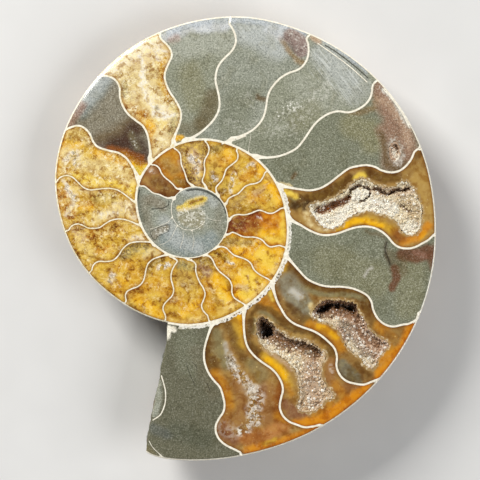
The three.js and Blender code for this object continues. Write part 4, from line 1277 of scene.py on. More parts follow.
def add_layer(mesh, name, values, domain="CORNER"):
    """Stores values, or colours where each has three parts, for a material to read."""
    kind, key = "FLOAT", "value"
    if values.ndim == 2:
        kind, key = "FLOAT_COLOR", "color"
        values = np.column_stack([values, np.ones(len(values))])
    layer = mesh.attributes.new(name, kind, domain)
    layer.data.foreach_set(key, values.ravel().astype(np.float32))


# %% Paint the face, chamber by chamber
centres = face_places[face_triangles].mean(axis=1)
chambers = chamber_of(centres)
tint = np.zeros((*face_triangles.shape, 3))
mottle, grains, wheel_marks = (np.zeros(face_triangles.shape) for _ in range(3))
for chamber in np.unique(chambers):
    mine = chambers == chamber
    points, back_to = np.unique(face_triangles[mine], return_inverse=True)
    back_to = back_to.reshape(-1, 3)
    ground, sugary, strokes = PAINT[min(int(chamber), max(PAINT))]
    shade, bright, scratched = painted(ground, strokes, face_places[points])
    tint[mine], grains[mine], wheel_marks[mine] = shade[back_to], bright[back_to], scratched[back_to]
    mottle[mine] = sugary
print("painted", len(np.unique(chambers)), "chambers")

# %% Join face, back and break
FACE, BACK, BREAK, BOWL = range(4)
first_back = len(face_places)
first_break = first_back + len(back_places)
face_points = np.column_stack([face_places, face_heights])
body_points = np.vstack([face_points, np.array(back_places), break_places])
body_faces = [list(f) for f in face_triangles]
body_faces += [[first_back + k for k in reversed(f)] for f in back_faces]
body_faces += [[first_break + k for k in f] for f in break_triangles]
half_shell = make_mesh("cut_and_polished_half", body_points, body_faces)
shell_mesh = half_shell.data
in_bowl = (hollow_of_point[face_triangles] >= 0).any(axis=1)
kinds = np.concatenate([np.where(in_bowl, BOWL, FACE), np.full(len(back_faces), BACK),
                        np.full(len(break_triangles), BREAK)]).astype(np.int32)
shell_mesh.polygons.foreach_set("material_index", kinds)
print("joined", len(body_faces), "faces")

# %% Store what the materials read
BACK_TINT = 0.2
back_corners = np.array([mark for face in back_marks for mark in reversed(face)])


def spread(face_values, back_values=0.0, break_value=0.0):
    """One value for every corner of the body: first the face, then the back and the break."""
    back_values = np.broadcast_to(back_values, len(back_corners))
    return np.concatenate([face_values.ravel(), back_values, np.full(break_triangles.size, break_value)])


tint_parts = [spread(tint[..., k], BACK_TINT, BACK_TINT) for k in range(3)]
add_layer(shell_mesh, "tint", np.stack(tint_parts, axis=1))
edge_gaps = np.full(len(face_places), FAR_OFF)
for line in hollow_lines.values():
    gap, _ = distance_to(face_places, line)
    edge_gaps = np.minimum(edge_gaps, gap / MM)
for name, values in (("line_gap", line_gaps / MM), ("crack_gap", crack_gaps / MM),
                     ("bead_place", bead_places), ("open_beads", open_beads), ("hollow_gap", edge_gaps)):
    add_layer(shell_mesh, name, spread(values[face_triangles], FAR_OFF, FAR_OFF))
for name, values in (("mottled", mottle), ("crystal_grains", grains), ("wheel_marks", wheel_marks)):
    add_layer(shell_mesh, name, spread(values))
for name, values in zip(("unwound", "across"), back_corners.T):
    add_layer(shell_mesh, name, spread(np.zeros(face_triangles.shape), values))
print("stored", len(shell_mesh.attributes), "layers")

# %% Weld the body
WELD_REACH = 5e-6
sewing = bmesh.new()
sewing.from_mesh(shell_mesh)
bmesh.ops.remove_doubles(sewing, verts=sewing.verts, dist=WELD_REACH)
slivers = [e for e in sewing.edges if len(e.link_faces) == 1]
bmesh.ops.holes_fill(sewing, edges=slivers, sides=4)
open_edges = [e for e in sewing.edges if len(e.link_faces) != 2]
bmesh.ops.recalc_face_normals(sewing, faces=sewing.faces)
for face in sewing.faces:
    face.smooth = face.material_index == BACK
sewing.to_mesh(shell_mesh)
sewing.free()
print("body of", len(shell_mesh.polygons), "faces;", len(open_edges), "edges left open")

# %% [markdown]
# ## The crystal crusts
#
# Calcite grew into the empty chambers as a crust of small pointed crystals. A displaced surface
# would look like gravel. So each crust is a closed shell that follows its bowl, and hundreds or
# thousands of six-sided points stand on it, each with its own size, lean and shade. A scattering
# modifier could place them too, but plain arrays keep every crystal under the sawn plane.

# %% Ground of each crust
CRUST_GAP = 0.06 * MM
CRUST_STEP = 0.5 * MM
CRUST_CLEAR = 0.4 * CRUST_STEP
CRUST_EDGE = 0.12 * MM
LEAST_CRUST = 0.45 * MM
CRUST_LUMP = 0.35 * MM
CRUST_LUMP_SIZE = 1.6 * MM
LUMPS_FROM = 1.0 * MM
LIP_WIDTH = 0.32 * MM
LIP_FALL = 2.2
SHEER_FROM = 5.0
SHEER_THINNING = 0.75
EDGE_DRIFT, EDGE_DRIFT_SIZE = 1.5, 1.5 * MM
# Each hollow: how deep most of it is, and its deep places. Each deep place: (how deep in
# millimetres, reach and softness in pixels, line in pixels).
DEEP_PLACES = {
    "lower": (1.0, [
        (6.6, 7.5, 4, [(264, 321), (267, 332)]),
        (2.8, 3.6, 4, [(271, 333), (284, 340), (301, 344), (316, 350)]),
        (2.1, 7, 6, [(272, 339), (285, 345), (302, 349), (316, 355)]),
    ]),
    "middle": (1.0, [
        (6.6, 7.2, 3.5, [(320, 305.5), (330, 301.5), (344, 301.5), (353, 305.5)]),
        (2.2, 6, 5, [(322, 315), (334, 312), (346, 312), (356, 318)]),
        (1.9, 6, 6, [(360, 328), (368, 338), (378, 345)]),
    ]),
    "upper": (0.8, [
        (2.0, 4.5, 3, [(318, 210), (330, 207), (342, 202), (349, 197)]),
        (3.1, 1.3, 2, [(350, 197), (351, 190), (357, 186), (366, 186), (371, 191), (370, 198), (360, 202)]),
        (2.9, 2, 3, [(374, 188), (386, 194), (402, 190), (410, 189)]),
        (2.2, 2, 4, [(400, 205), (412, 213)]),
    ]),
    "small": (0.7, [(1.9, 2, 3, [(396, 144), (398, 152)])]),
}


def crust_top(name, places, gap, floor):
    """Height of the crystal floor: level with the face at the edge, deep at the named places."""
    level, deep_places = DEEP_PLACES[name]
    pixels = in_pixels(places) + EDGE_DRIFT * cloud(places, EDGE_DRIFT_SIZE, 4)[:, None]
    depth = np.full(len(places), level * MM)
    sheer = np.zeros(len(places))
    for deep, reach, softness, path in deep_places:
        away = distance_to_path(pixels, path)
        cover = 1 - smoothstep(away, reach - softness / 2, reach + softness / 2)
        depth = np.maximum(depth, level * MM + (deep - level) * MM * cover)
        sheer = np.maximum(sheer, cover * (deep > SHEER_FROM))
    lip = LIP_WIDTH * (1 - SHEER_THINNING * sheer)
    depth *= smoothstep(gap, lip, LIP_FALL * lip)
    depth += CRUST_LUMP * cloud(places, CRUST_LUMP_SIZE, 5) * smoothstep(gap, 0, LUMPS_FROM)
    return np.maximum(-np.maximum(depth, CRUST_EDGE), floor + LEAST_CRUST)


def crust_ground(name):
    """A closed shell between bowl and crystal floor: its places and faces, then those of its top."""
    edge = hollow_lines[name]
    ring = inward_rows(edge, [CRUST_GAP])[::2]
    inner = hex_grid(ring.min(axis=0), ring.max(axis=0), CRUST_STEP)
    inner = inner[inside(inner, ring)]
    away, _ = distance_to(inner, ring)
    flat, triangles = triangulate(inner[away > CRUST_CLEAR], [], [ring])
    gap = gap_to_loop(flat, edge)
    floor = -bowl_depth(name, gap, hollow_widths[name]) + CRUST_GAP
    top = crust_top(name, flat, gap, floor)
    count = len(flat)
    places = np.vstack([np.column_stack([flat, top]), np.column_stack([flat, floor])])
    faces = [list(f) for f in triangles] + [[count + k for k in reversed(f)] for f in triangles]
    sides = {}
    for f in triangles:
        for a, b in ((f[0], f[1]), (f[1], f[2]), (f[2], f[0])):
            if sides.pop((b, a), None) is None:
                sides[a, b] = True
    faces += [[b, a, count + a, count + b] for a, b in sides]
    return places, faces, places[:count], triangles


print("deepest place", max(d[0] for _, deep in DEEP_PLACES.values() for d in deep), "mm")

# %% One crystal
SIDES = 6
FOOT_WIDTH = 0.9
SHOULDER_HEIGHT = 0.55
TIP = [0.1, 0.06, 1.0]

corner_turns = np.radians(360 / SIDES * np.arange(SIDES))
ring = np.column_stack([np.cos(corner_turns), np.sin(corner_turns)])
crystal_points = np.vstack([
    np.column_stack([ring * FOOT_WIDTH, np.zeros(SIDES)]),
    np.column_stack([ring, np.full(SIDES, SHOULDER_HEIGHT)]),
    [TIP],
])
crystal_faces = [list(range(SIDES))[::-1]]
for k in range(SIDES):
    after = (k + 1) % SIDES
    crystal_faces += [[k, after, SIDES + after, SIDES + k], [SIDES + k, SIDES + after, 2 * SIDES]]
print("one crystal has", len(crystal_faces), "faces")

# %% Grow crystals on a crust
CRYSTAL_SPACING = 0.38 * MM
CRYSTAL_RADIUS = 0.25 * MM
CRYSTAL_HEIGHT = 0.45 * MM
CRYSTAL_ROOT = 0.3 * MM
CRYSTAL_LEAN, LEAN_SPREAD = 0.5, 0.6
LEAST_RISE = 0.25
SIZE_SPREAD, SIZE_LIMITS = (-0.05, 0.32), (0.5, 1.9)
WIDTH_SPREAD = (0.8, 1.2)
HEIGHT_SPREAD = (0.7, 1.5)
SHEER_SLOPE = 0.26
BARE_DOWN_TO = -2.2 * MM
UNDER_THE_SAW = 0.07 * MM


def grow_crystals(top, triangles, chance):
    """Crystals on a crust's floor: the points of each and one random shade for each."""
    corners = top[triangles]
    normals = np.cross(corners[:, 1] - corners[:, 0], corners[:, 2] - corners[:, 0])
    areas = 0.5 * np.linalg.norm(normals, axis=1)
    count = int(areas.sum() / CRYSTAL_SPACING**2)
    chosen = chance.choice(len(triangles), count, p=areas / areas.sum())
    mix = chance.dirichlet((1, 1, 1), count)
    feet = (corners[chosen] * mix[:, :, None]).sum(axis=1)
    upward = normals[chosen] / (2 * areas[chosen])[:, None]
    stands = (upward[:, 2] > SHEER_SLOPE) | (feet[:, 2] < BARE_DOWN_TO)
    feet, upward, count = feet[stands], upward[stands], stands.sum()
    upward = upward + CRYSTAL_LEAN * chance.normal(0, LEAN_SPREAD, (count, 3))
    upward[:, 2] = np.abs(upward[:, 2]) + LEAST_RISE
    upward /= np.linalg.norm(upward, axis=1)[:, None]
    spin = chance.normal(size=(count, 3))
    side = np.cross(upward, spin)
    side /= np.linalg.norm(side, axis=1)[:, None]
    other = np.cross(upward, side)
    size = chance.lognormal(*SIZE_SPREAD, count).clip(*SIZE_LIMITS)
    width = CRYSTAL_RADIUS * size * chance.uniform(*WIDTH_SPREAD, count)
    height = CRYSTAL_HEIGHT * size * chance.uniform(*HEIGHT_SPREAD, count)
    points = (feet[:, None] + side[:, None] * (crystal_points[:, 0] * width[:, None])[..., None]
              + other[:, None] * (crystal_points[:, 1] * width[:, None])[..., None]
              + upward[:, None] * (crystal_points[:, 2] * height[:, None] - CRYSTAL_ROOT)[..., None])
    points[..., 2] = np.minimum(points[..., 2], -UNDER_THE_SAW)
    return points, chance.uniform(0, 1, count)


# %% Strokes on the crusts
# The brown and burnt strokes along the deep channels under the lips are painted shade.
CRUST_PAINT = {
    "lower": ("blush", [("ivory", 0.8, 6, 7, 258, 336, 266, 346, 284, 354, 298, 364),
        ("ivory", 0.4, 5, 8, 302, 374, 304, 390), ("rose", 0.6, 8, 8, 312, 366, 310, 384, 316, 400),
        ("brown", 0.7, 3, 5, 273, 338, 286, 344, 302, 348, 317, 354)]),
    "middle": ("rose", [("ivory", 0.8, 5, 6, 320, 318, 336, 322),
        ("smoke", 0.6, 5, 6, 346, 326, 356, 342, 368, 356), ("rose", 0.7, 5, 7, 352, 330, 366, 346),
        ("ivory", 0.8, 4, 6, 350, 344, 362, 358, 372, 364),
        ("brown", 0.6, 4, 5, 322, 310, 336, 308, 352, 312)]),
    "upper": ("ivory", [("frost", 1.0, 8, 6, 314, 218, 332, 225, 350, 212, 372, 204, 392, 208),
        ("tan", 0.45, 5, 6, 400, 200, 412, 204, 416, 220), ("frost", 1.0, 7, 4, 358, 194, 366, 192),
        ("rose", 0.5, 4, 5, 376, 190, 398, 192, 412, 192),
        ("burnt", 1.0, 3.5, 3, 319, 210, 330, 207, 342, 203, 348, 199),
        ("frost", 0.8, 5, 6, 404, 230, 416, 226)]),
    "small": ("rose", [("frost", 0.9, 3, 4, 394, 152, 396, 160)]),
}
print("crust strokes:", sum(len(strokes) for _, strokes in CRUST_PAINT.values()))

# %% Build the crusts
GROUND_SHADE = -1.0
CRUST_SEED = 100
each = len(crystal_points)
crust_pieces = {}
for order, name in enumerate(HOLLOWS):
    places, faces, top, triangles = crust_ground(name)
    points, shades = grow_crystals(top, triangles, np.random.default_rng(CRUST_SEED + order))
    start = len(places)
    faces += [[start + k * each + v for v in f] for k in range(len(points)) for f in crystal_faces]
    crust = make_mesh(name + "_druse", np.vstack([places, points.reshape(-1, 3)]), faces)
    tips = points[:, -1]
    stained, _, _ = painted(*CRUST_PAINT[name], np.vstack([places[:, :2], tips[:, :2]]))
    heights = np.concatenate([places[:, 2], tips[:, 2]])
    shades = np.concatenate([np.full(start, GROUND_SHADE), shades])
    for layer, values in (("crystal_tint", stained), ("crystal_shade", shades),
                          ("depth_below_face", -heights / MM)):
        values = np.concatenate([values[:start], np.repeat(values[start:], each, axis=0)])
        add_layer(crust.data, layer, values, "POINT")
    crust_pieces[name] = crust
    print(name, "crust:", len(points), "crystals,", len(faces), "faces")

# %% [markdown]
# ## Writing materials as sums
#
# A material is a little calculation that runs at every point. Blender draws it as boxes and wires,
# but most of it is plain arithmetic. The class `Signal` wraps one wire, so that `1 - mask` or
# `grain * 0.4` adds the right box. `Recipe` holds one material and makes every other kind of box.

# %% Signal, one wire


class Signal:
    """One wire of a material: a value, a colour or a direction."""

    def __init__(self, recipe, socket):
        self.recipe, self.socket = recipe, socket

    def math(self, operation, *inputs):
        return self.recipe.node("Math", {"operation": operation}, list(inputs))

    def __add__(self, other):
        return self.math("ADD", self, other)

    def __radd__(self, other):
        return self.math("ADD", other, self)

    def __sub__(self, other):
        return self.math("SUBTRACT", self, other)

    def __rsub__(self, other):
        return self.math("SUBTRACT", other, self)

    def __mul__(self, other):
        return self.math("MULTIPLY", self, other)

    def __rmul__(self, other):
        return self.math("MULTIPLY", other, self)

    def __pow__(self, other):
        return self.math("POWER", self, other)

    def __rpow__(self, other):
        return self.math("POWER", other, self)

    def size(self):
        """The value without its sign."""
        return self.math("ABSOLUTE", self)

    def wave(self):
        """Its sine."""
        return self.math("SINE", self)

    def past_whole(self):
        """What is left past the last whole number."""
        return self.math("FRACT", self)

    def least(self, limit):
        """The value, or the limit where the value is larger."""
        return self.math("MINIMUM", self, limit)

    def fade(self, low, high):
        """0 below `low`, 1 above `high`, and smooth between; `high` may be the smaller one."""
        return self.recipe.node("MapRange", {"interpolation_type": "SMOOTHSTEP"},
                                {"Value": self, "From Min": low, "From Max": high})


print("a wire has", sum(n.startswith("__r") for n in vars(Signal)), "operators, each in two forms")

# %% Recipe, one material


class Recipe:
    """One material and the steps that make it."""

    def __init__(self, name):
        self.material = bpy.data.materials.new(name)
        self.material.use_nodes = True
        self.tree = self.material.node_tree
        self.tree.nodes.clear()

    def node(self, kind, settings=None, inputs=None, output=0):
        """Adds a node: its settings first, then the values or wires of its sockets."""
        made = self.tree.nodes.new("ShaderNode" + kind)
        for key, value in (settings or {}).items():
            setattr(made, key, value)
        pairs = inputs.items() if isinstance(inputs, dict) else enumerate(inputs or [])
        for key, value in pairs:
            if isinstance(value, Signal):
                self.tree.links.new(value.socket, made.inputs[key])
            else:
                made.inputs[key].default_value = value
        return Signal(self, made.outputs[output])

    def value(self, name):
        return self.node("Attribute", {"attribute_name": name}, output="Fac")

    def shade(self, name):
        return self.node("Attribute", {"attribute_name": name}, output="Color")

    def mix(self, share, first, second, blend="MIX"):
        """A mix of two colours, each a wire or a colour code."""
        first, second = (c if isinstance(c, Signal) else (*colour(c), 1) for c in (first, second))
        return self.node("Mix", {"data_type": "RGBA", "blend_type": blend, "clamp_factor": True},
                         {0: share, 6: first, 7: second}, output=2)

    def place(self, per_mm=1.0, stretch=(1, 1, 1), turn=0.0):
        """Places on the piece in millimetres, scaled, and stretched along one direction."""
        return self.node("Mapping", {"vector_type": "TEXTURE"},
                         {"Vector": self.node("TexCoord", output="Object"),
                          "Rotation": (0, 0, math.radians(turn)),
                          "Scale": [1 / (per_mm / MM * s) for s in stretch]})

    def noise(self, place, detail=3.0, roughness=0.55):
        return self.node("TexNoise", None,
                         {"Vector": place, "Scale": 1.0, "Detail": detail, "Roughness": roughness})

    def cells(self, place, feature="F1", output="Distance"):
        return self.node("TexVoronoi", {"feature": feature}, {"Vector": place, "Scale": 1.0}, output)

    def drift(self, place, amount, detail=2.0):
        """The same places, pushed about by noise."""
        push = self.node("TexNoise", None, {"Vector": place, "Scale": 0.6, "Detail": detail}, "Color")
        centred = self.node("VectorMath", {"operation": "SUBTRACT"}, [push, (0.5, 0.5, 0.5)])
        scaled = self.node("VectorMath", {"operation": "SCALE"}, {"Vector": centred, "Scale": amount})
        return self.node("VectorMath", {"operation": "ADD"}, [place, scaled])

    def bump(self, height, depth):
        return self.node("Bump", None, {"Distance": depth, "Height": height})

    def finish(self, **sockets):
        surface = self.node("BsdfPrincipled", None, {k.replace("_", " "): v for k, v in sockets.items()})
        end = self.tree.nodes.new("ShaderNodeOutputMaterial")
        self.tree.links.new(surface.socket, end.inputs["Surface"])
        return self.material


print("a recipe has", [n for n in vars(Recipe) if not n.startswith("_")])

# %% [markdown]
# ## The polished face
#
# Under its polish the face is three things: grey stone with a fine grain, honey calcite with pale
# veins and darker clouds, and thin cream lines where the old shell shows. The painted colour says
# what lies where. Noise breaks it up at the sizes seen in the real stone, from half a millimetre
# for grains to several millimetres for clouds. A clear coat makes it shine.

# %% Recipe of the polished face
face_recipe = Recipe("polished_section")
r = face_recipe
tint_wire = r.shade("tint")
gap_wire = r.value("line_gap")
sugary = r.value("mottled")
grainy = r.value("crystal_grains")
calcite = sugary.fade(0.0, 0.04)
milky = sugary.fade(0.6, 0.8)


def ridges(per_mm, width, push):
    """Thin wandering lines, where noise crosses its middle value."""
    wander = r.noise(r.drift(r.place(per_mm), push, detail=3.0), detail=2.0, roughness=0.5)
    return (wander - 0.5).size().fade(width, 0.0)


print("read from the mesh:", len(r.tree.nodes), "nodes with their fades")

# %% Stone: fine grain and pinpricks
grain = r.noise(r.place(2.5), detail=3.0, roughness=0.6)
coarse = r.noise(r.drift(r.place(1.0), 0.8), detail=4.0, roughness=0.6)
base = r.mix(coarse.fade(0.54, 0.34) * (1 - calcite) * 0.2, tint_wire, "#2b2a1e")
base = r.mix(grain.fade(0.5, 0.34) * (1 - calcite) * 0.46, base, "#2e2b1c")
paleness = r.node("RGBToBW", None, [tint_wire]).fade(0.08, 0.3)
base = r.mix(grain.fade(0.52, 0.68) * (1 - calcite) * (paleness * 0.24 + 0.12), base, "#ece9d8")
base = r.mix(grain.fade(0.52, 0.68) * sugary * 0.24, base, "#ffeaa8")
clouds = r.noise(r.drift(r.place(0.16), 1.0), detail=4.0)
base = r.mix(clouds.fade(0.5, 0.36) * (1 - calcite) * 0.3, base, "#c9c3a8", blend="MULTIPLY")
pinpricks = r.cells(r.place(1.1)).fade(0.12, 0.05) * r.noise(r.place(0.12)).fade(0.5, 0.6)
dots = r.cells(r.drift(r.place(1.15), 0.3)).fade(0.32, 0.14) * grainy ** 1.5
haze = r.noise(r.drift(r.place(0.95), 1.0), detail=4.0).fade(0.5, 0.66) * grainy * 0.5
specks = pinpricks * (paleness * 0.3 + 0.12) + (dots + haze) * (1 - calcite)
base = r.mix(specks.least(0.9), base, "#f6f3e6")
print("stone:", len(r.tree.nodes), "nodes")

# %% Calcite: amber depths, golden glow and milky sugar
depths = r.noise(r.drift(r.place(0.3), 1.3, detail=3.0), detail=3.0)
honey = r.mix(depths.fade(0.5, 0.34) * calcite * 0.75, base, "#d2b884", blend="MULTIPLY")
honey = r.mix(depths.fade(0.54, 0.7) * sugary.fade(0.07, 0.3) * 0.3, honey, "#ffdc66")
swirls = r.noise(r.drift(r.place(0.5), 1.6, detail=3.0), detail=3.0)
darker = swirls.fade(0.51, 0.36) * (calcite * 0.32 + sugary * (0.68 - milky * 0.2))
honey = r.mix(darker, honey, "#c3a26a", blend="MULTIPLY")
deepest = swirls.fade(0.44, 0.33) * sugary.fade(0.1, 0.5) * (0.8 - milky * 0.4)
honey = r.mix(deepest, honey, "#bc9864", blend="MULTIPLY")
glowing = r.mix(sugary.fade(0.5, 0.8), "#f9d566", "#f4de9e")
honey = r.mix(swirls.fade(0.53, 0.63) * sugary * (0.95 - milky * 0.35), honey, glowing)
patches = r.noise(r.drift(r.place(0.34), 1.2), detail=2.0).fade(0.44, 0.6)
sugar = r.noise(r.drift(r.place(0.95), 1.4, detail=4.0), detail=4.0, roughness=0.6).fade(0.5, 0.62)
veins = ridges(0.5, 0.035, 1.5) * patches * sugary
flecks = r.mix(milky, "#ffeab0", "#fff4cc")
honey = r.mix((patches * sugar * sugary + veins * 0.7).least(0.95), honey, flecks)
curls = ridges(1.0, 0.05, 1.5) * sugary.fade(0.0, 0.7)
honey = r.mix(curls * 0.55, honey, r.mix(milky, "#fbd760", "#fdea9c"))
curls = ridges(0.7, 0.04, 1.8) * sugary.fade(0.2, 0.8) * (1 - milky * 0.4)
honey = r.mix(curls * 0.45, honey, r.mix(milky, "#86661c", "#a5835a"))
facets = r.cells(r.drift(r.place(1.1), 0.7), output="Color")
druse = grainy * calcite * (facets.fade(0.36, 0.6) * 0.65 + sugar * 0.3)
honey = r.mix(druse.least(0.95), honey, "#fbf4e6")
scratches = r.noise(r.place(2.2, stretch=(0.04, 1, 1), turn=-52), detail=2.0).fade(0.5, 0.68)
honey = r.mix(scratches * r.value("wheel_marks") * 0.5, honey, "#dfe2dc")
cracked = ridges(1.1, 0.06, 1.2) * grainy.fade(0.4, 0.75) * calcite
honey = r.mix(cracked * 0.7, honey, "#3d2d1c")
crusty = (r.value("hollow_gap") - r.noise(r.drift(r.place(0.7), 0.8), detail=3.0) * 1.8).fade(-0.1, -0.6)
honey = r.mix(crusty * calcite * 0.75, honey, r.mix(sugar, "#a98c5e", "#e6d4ae"))
sparks = r.cells(r.drift(r.place(0.55), 0.5)).fade(0.14, 0.04) * r.noise(r.place(0.2)).fade(0.5, 0.6)
honey = r.mix(sparks * calcite * 0.55, honey, "#ffe79a")
print("with calcite:", len(r.tree.nodes), "nodes")

# %% Lines: cream walls, dark cracks and the beaded stretch
# A darker band of calcite and a thin dark edge beside every pale line: painted shade along the walls.
honey = r.mix(gap_wire.fade(1.1, 0.0) * calcite * 0.6, honey, "#c7a066", blend="MULTIPLY")
face_colour = r.mix(gap_wire.fade(0.3, 0.02) * (calcite * 0.23 + 0.12), honey, "#3a2a14")
crack_wire = r.value("crack_gap")
face_colour = r.mix(crack_wire.fade(0.06, -0.06) * 0.8, face_colour, "#2b2a24")
bead_wire = r.value("bead_place")
bead_edge = r.noise(r.place(0.9)) * 1.5 + 0.4
bead_cover = (bead_edge - bead_wire).fade(-0.05, 0.05)
bead_rings = r.cells(r.drift(r.place(0.95), 0.4), feature="DISTANCE_TO_EDGE").fade(0.2, 0.1)
bead_heart = r.mix(r.value("open_beads"), "#cdc6b2", "#57503f")
bead_heart = r.mix(r.noise(r.place(1.4)).fade(0.5, 0.65), bead_heart, "#e4dfce")
bead_colour = r.mix(bead_rings, bead_heart, "#f4f0e4")
face_colour = r.mix(bead_cover * 0.9, face_colour, bead_colour)
wobble = (r.noise(r.place(1.6)) - 0.5) * 0.14
on_line = (gap_wire + wobble).fade(0.05, -0.05)
line_colour = r.mix(r.noise(r.place(1.2)).fade(0.35, 0.65), r.mix(sugary, "#ebe3cf", "#e9d79c"), "#fff9e6")
face_colour = r.mix(on_line, face_colour, line_colour)
r.finish(Base_Color=face_colour, Roughness=0.16 + grainy * 0.25, Coat_Weight=0.4,
         Coat_Roughness=0.05, Coat_IOR=1.5, IOR=1.45)
print("polished face:", len(r.tree.nodes), "nodes")

# %% [markdown]
# ## Back, break and bowls
#
# The back keeps the old shell, worn through in places to the fern-like seams where each septum met
# it. Real seams are far more folded than a line, so the seam is drawn where the unwound angle,
# pushed to and fro by waves of three sizes, crosses a whole number. The break is plain dull stone.

# %% Recipes of the back, the break and the bowls
SEAMS_PER_TURN = 20
back_recipe = Recipe("worn_shell_back")
r = back_recipe
turned_wire, across_wire = r.value("unwound"), r.value("across")
marble = r.noise(r.drift(r.place(0.09), 1.2), detail=5.0)
fine = r.noise(r.place(0.9), detail=4.0)
pearl = r.mix(marble.fade(0.36, 0.64), "#6a4a2c", "#cdb388")
pearl = r.mix(r.noise(r.drift(r.place(0.16), 0.8), detail=4.0).fade(0.52, 0.66) * 0.75, pearl, "#8c3f1c")
pearl = r.mix(fine.fade(0.45, 0.7) * 0.3, pearl, "#f0e3c6")
waves = (across_wire * 26).wave() * 0.13 + (across_wire * 71).wave() * 0.06
waves = waves + (r.noise(r.drift(r.place(0.55), 0.6), detail=3.0) - 0.5) * 0.34
seam_place = turned_wire * (SEAMS_PER_TURN / 360) + waves
nearest_seam = (seam_place.past_whole() - 0.5).size()
seam = nearest_seam.fade(0.035, 0.015)
back_colour = r.mix(seam * 0.85, pearl, "#3c2413")
r.finish(Base_Color=back_colour, Roughness=0.34 + fine * 0.2, Coat_Weight=0.25, Coat_Roughness=0.2,
         Normal=r.bump(seam * -0.4 + fine * 0.6, 0.12 * MM))

break_recipe = Recipe("broken_mouth_stone")
r = break_recipe
rough = r.noise(r.place(0.7), detail=6.0, roughness=0.65)
stone = r.mix(rough.fade(0.35, 0.65), "#55574b", "#8b8b7b")
stone = r.mix(r.noise(r.place(0.18)).fade(0.5, 0.66) * 0.6, stone, "#7b5a3a")
r.finish(Base_Color=stone, Roughness=0.85, Normal=r.bump(rough, 0.5 * MM))

# The bowl walls are dark brown so that the holes look deep: painted shade.
bowl_recipe = Recipe("bowl_behind_crystals")
r = bowl_recipe
rough = r.noise(r.place(0.9), detail=4.0)
r.finish(Base_Color=r.mix(rough.fade(0.3, 0.7), "#3a2410", "#8a5f2c"), Roughness=0.6,
         Normal=r.bump(rough, 0.3 * MM))

for recipe in (face_recipe, back_recipe, break_recipe, bowl_recipe):
    shell_mesh.materials.append(recipe.material)
print("materials on the body:", [m.name for m in shell_mesh.materials])

# %% [markdown]
# ## Crystals
#
# Each crystal is milky calcite that lets a little light in. The ground between them is darker
# brown. Crystals near the face keep their bright colour; deeper in a hole the colour is painted
# brown and then nearly black, as painted shade.

# %% Recipe of the crystals
crystal_recipe = Recipe("calcite_druse")
r = crystal_recipe
shade_wire, depth_wire = r.value("crystal_shade"), r.value("depth_below_face")
ground_mask = shade_wire.fade(-0.2, -0.6)
speckle = r.noise(r.place(1.4), detail=4.0)
stain_wire = r.shade("crystal_tint")
bright = r.mix(shade_wire.fade(0.6, 1.0) * 0.78, stain_wire, "#fffdf2")
bright = r.mix(shade_wire.fade(0.3, 0.0) * 0.55, bright, "#b08c6c", blend="MULTIPLY")
ground = r.mix(speckle.fade(0.35, 0.65) * 0.6, r.mix(0.35, stain_wire, "#5b3a1c"), stain_wire)
druse_colour = r.mix(ground_mask, bright, ground)
# Deeper than about 1.3 mm brown, deeper than 2.5 mm nearly black: painted shade in the holes.
druse_colour = r.mix(depth_wire.fade(1.3, 2.1) * 0.75, druse_colour, "#82552a")
druse_colour = r.mix(depth_wire.fade(2.5, 4.6) * 0.96, druse_colour, "#332010")
r.finish(Base_Color=druse_colour, Roughness=0.32 + ground_mask * 0.3, Transmission_Weight=0.1, IOR=1.54,
         Coat_Weight=0.2, Coat_Roughness=0.15)
for crust in crust_pieces.values():
    crust.data.materials.append(crystal_recipe.material)
print("crystals:", len(r.tree.nodes), "nodes")

# %% [markdown]
# ## Into the frame
#
# The dressed pieces take the place of the packed solids, which stay on for collision.

# %% Fit the pieces
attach(half_shell, "root")
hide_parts("ammonite_half")
for name, crust in crust_pieces.items():
    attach(crust, "root")
    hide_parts("druse_crust_" + name)
print("fitted", 1 + len(crust_pieces), "pieces")

# %% [markdown]
# ## Floor, light and camera
#
# The floor is plain and pale. A polished face is a mirror, so no lamp stands where the camera would
# see it in the stone: the key comes from the upper left, low enough to graze the ground rim, and a
# wide soft lamp fills from the right. The camera looks square onto the cut face, from far enough
# away that the coil keeps its shape. Blender's usual film look turns bright honey pink, so the
# plain view is chosen, which shows pigments as they are.

# %% Floor
FLOOR_SIZE = 3.0
floor_mesh = bpy.data.meshes.new("pale_floor")
corners = [(x * FLOOR_SIZE / 2, y * FLOOR_SIZE / 2, 0) for x, y in ((-1, -1), (1, -1), (1, 1), (-1, 1))]
floor_mesh.from_pydata(corners, [], [(0, 1, 2, 3)])
floor = bpy.data.objects.new("pale_floor", floor_mesh)
bpy.context.scene.collection.objects.link(floor)
floor_recipe = Recipe("pale_floor_paint")
r = floor_recipe
r.finish(Base_Color=r.mix(r.noise(r.place(0.02)).fade(0.3, 0.7), "#dddcd9", "#e4e3e0"), Roughness=0.8)
floor_mesh.materials.append(floor_recipe.material)
floor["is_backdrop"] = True
print("floor", FLOOR_SIZE, "m wide")

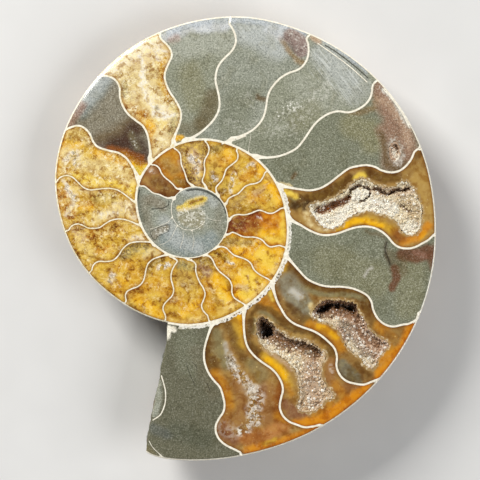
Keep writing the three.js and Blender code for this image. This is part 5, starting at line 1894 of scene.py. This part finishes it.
# %% Lights and world
AIM_PIXEL = (240, 240)
aim_flat = on_face([AIM_PIXEL])[0]
aim = LAY_DOWN @ Vector((aim_flat[0], aim_flat[1], 0))
face_normal = (face_turn @ Vector((0, 0, 1))).normalized()
face_up = (face_turn @ Vector((0, 1, 0))).normalized()
face_right = face_up.cross(face_normal)


def soft_lamp(name, right, up, out, size, watts, warmth):
    """A square soft lamp, placed from the middle of the face and turned to it."""
    light = bpy.data.lights.new(name, "AREA")
    light.shape, light.size, light.energy, light.color = "SQUARE", size, watts, warmth
    lamp = bpy.data.objects.new(name, light)
    lamp.location = aim + face_right * right + face_up * up + face_normal * out
    lamp.rotation_euler = (aim - lamp.location).to_track_quat("-Z", "Y").to_euler()
    bpy.context.scene.collection.objects.link(lamp)


soft_lamp("key_lamp", right=-0.75, up=0.85, out=0.75, size=0.55, watts=23, warmth=(1, 0.99, 0.97))
soft_lamp("fill_lamp", right=0.95, up=-0.35, out=0.8, size=0.9, watts=10, warmth=(0.97, 0.98, 1))
world = bpy.data.worlds.new("studio_air")
world.use_nodes = True
air = world.node_tree.nodes["Background"]
air.inputs["Color"].default_value = (0.8, 0.82, 0.85, 1)
air.inputs["Strength"].default_value = 0.16
bpy.context.scene.world = world
print(len(bpy.data.lights), "lamps")

# %% Camera
CAMERA_DISTANCE = 0.9
SENSOR = 36.0
PICTURE_PIXELS = 480
FRAME_WIDTH = PICTURE_PIXELS * PIXEL
camera_data = bpy.data.cameras.new("camera")
camera_data.sensor_width = SENSOR
camera_data.lens = SENSOR * CAMERA_DISTANCE / FRAME_WIDTH
camera_data.clip_start, camera_data.clip_end = 0.05, 20
camera = bpy.data.objects.new("camera", camera_data)
axes = Matrix((face_right, face_up, face_normal)).transposed()
camera.matrix_world = Matrix.Translation(aim + face_normal * CAMERA_DISTANCE) @ axes.to_4x4()
bpy.context.scene.collection.objects.link(camera)
bpy.context.scene.camera = camera
bpy.context.scene.view_settings.view_transform = "Standard"
print("lens", round(camera_data.lens, 1), "mm")

# %% Measure and print both boxes
seen_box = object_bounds()
sizes = {"cad_box": [list(map(float, corner)) for corner in cad_box],
         "visual_box": [list(map(float, corner)) for corner in seen_box]}
print("cad", sizes["cad_box"], "visual", sizes["visual_box"])
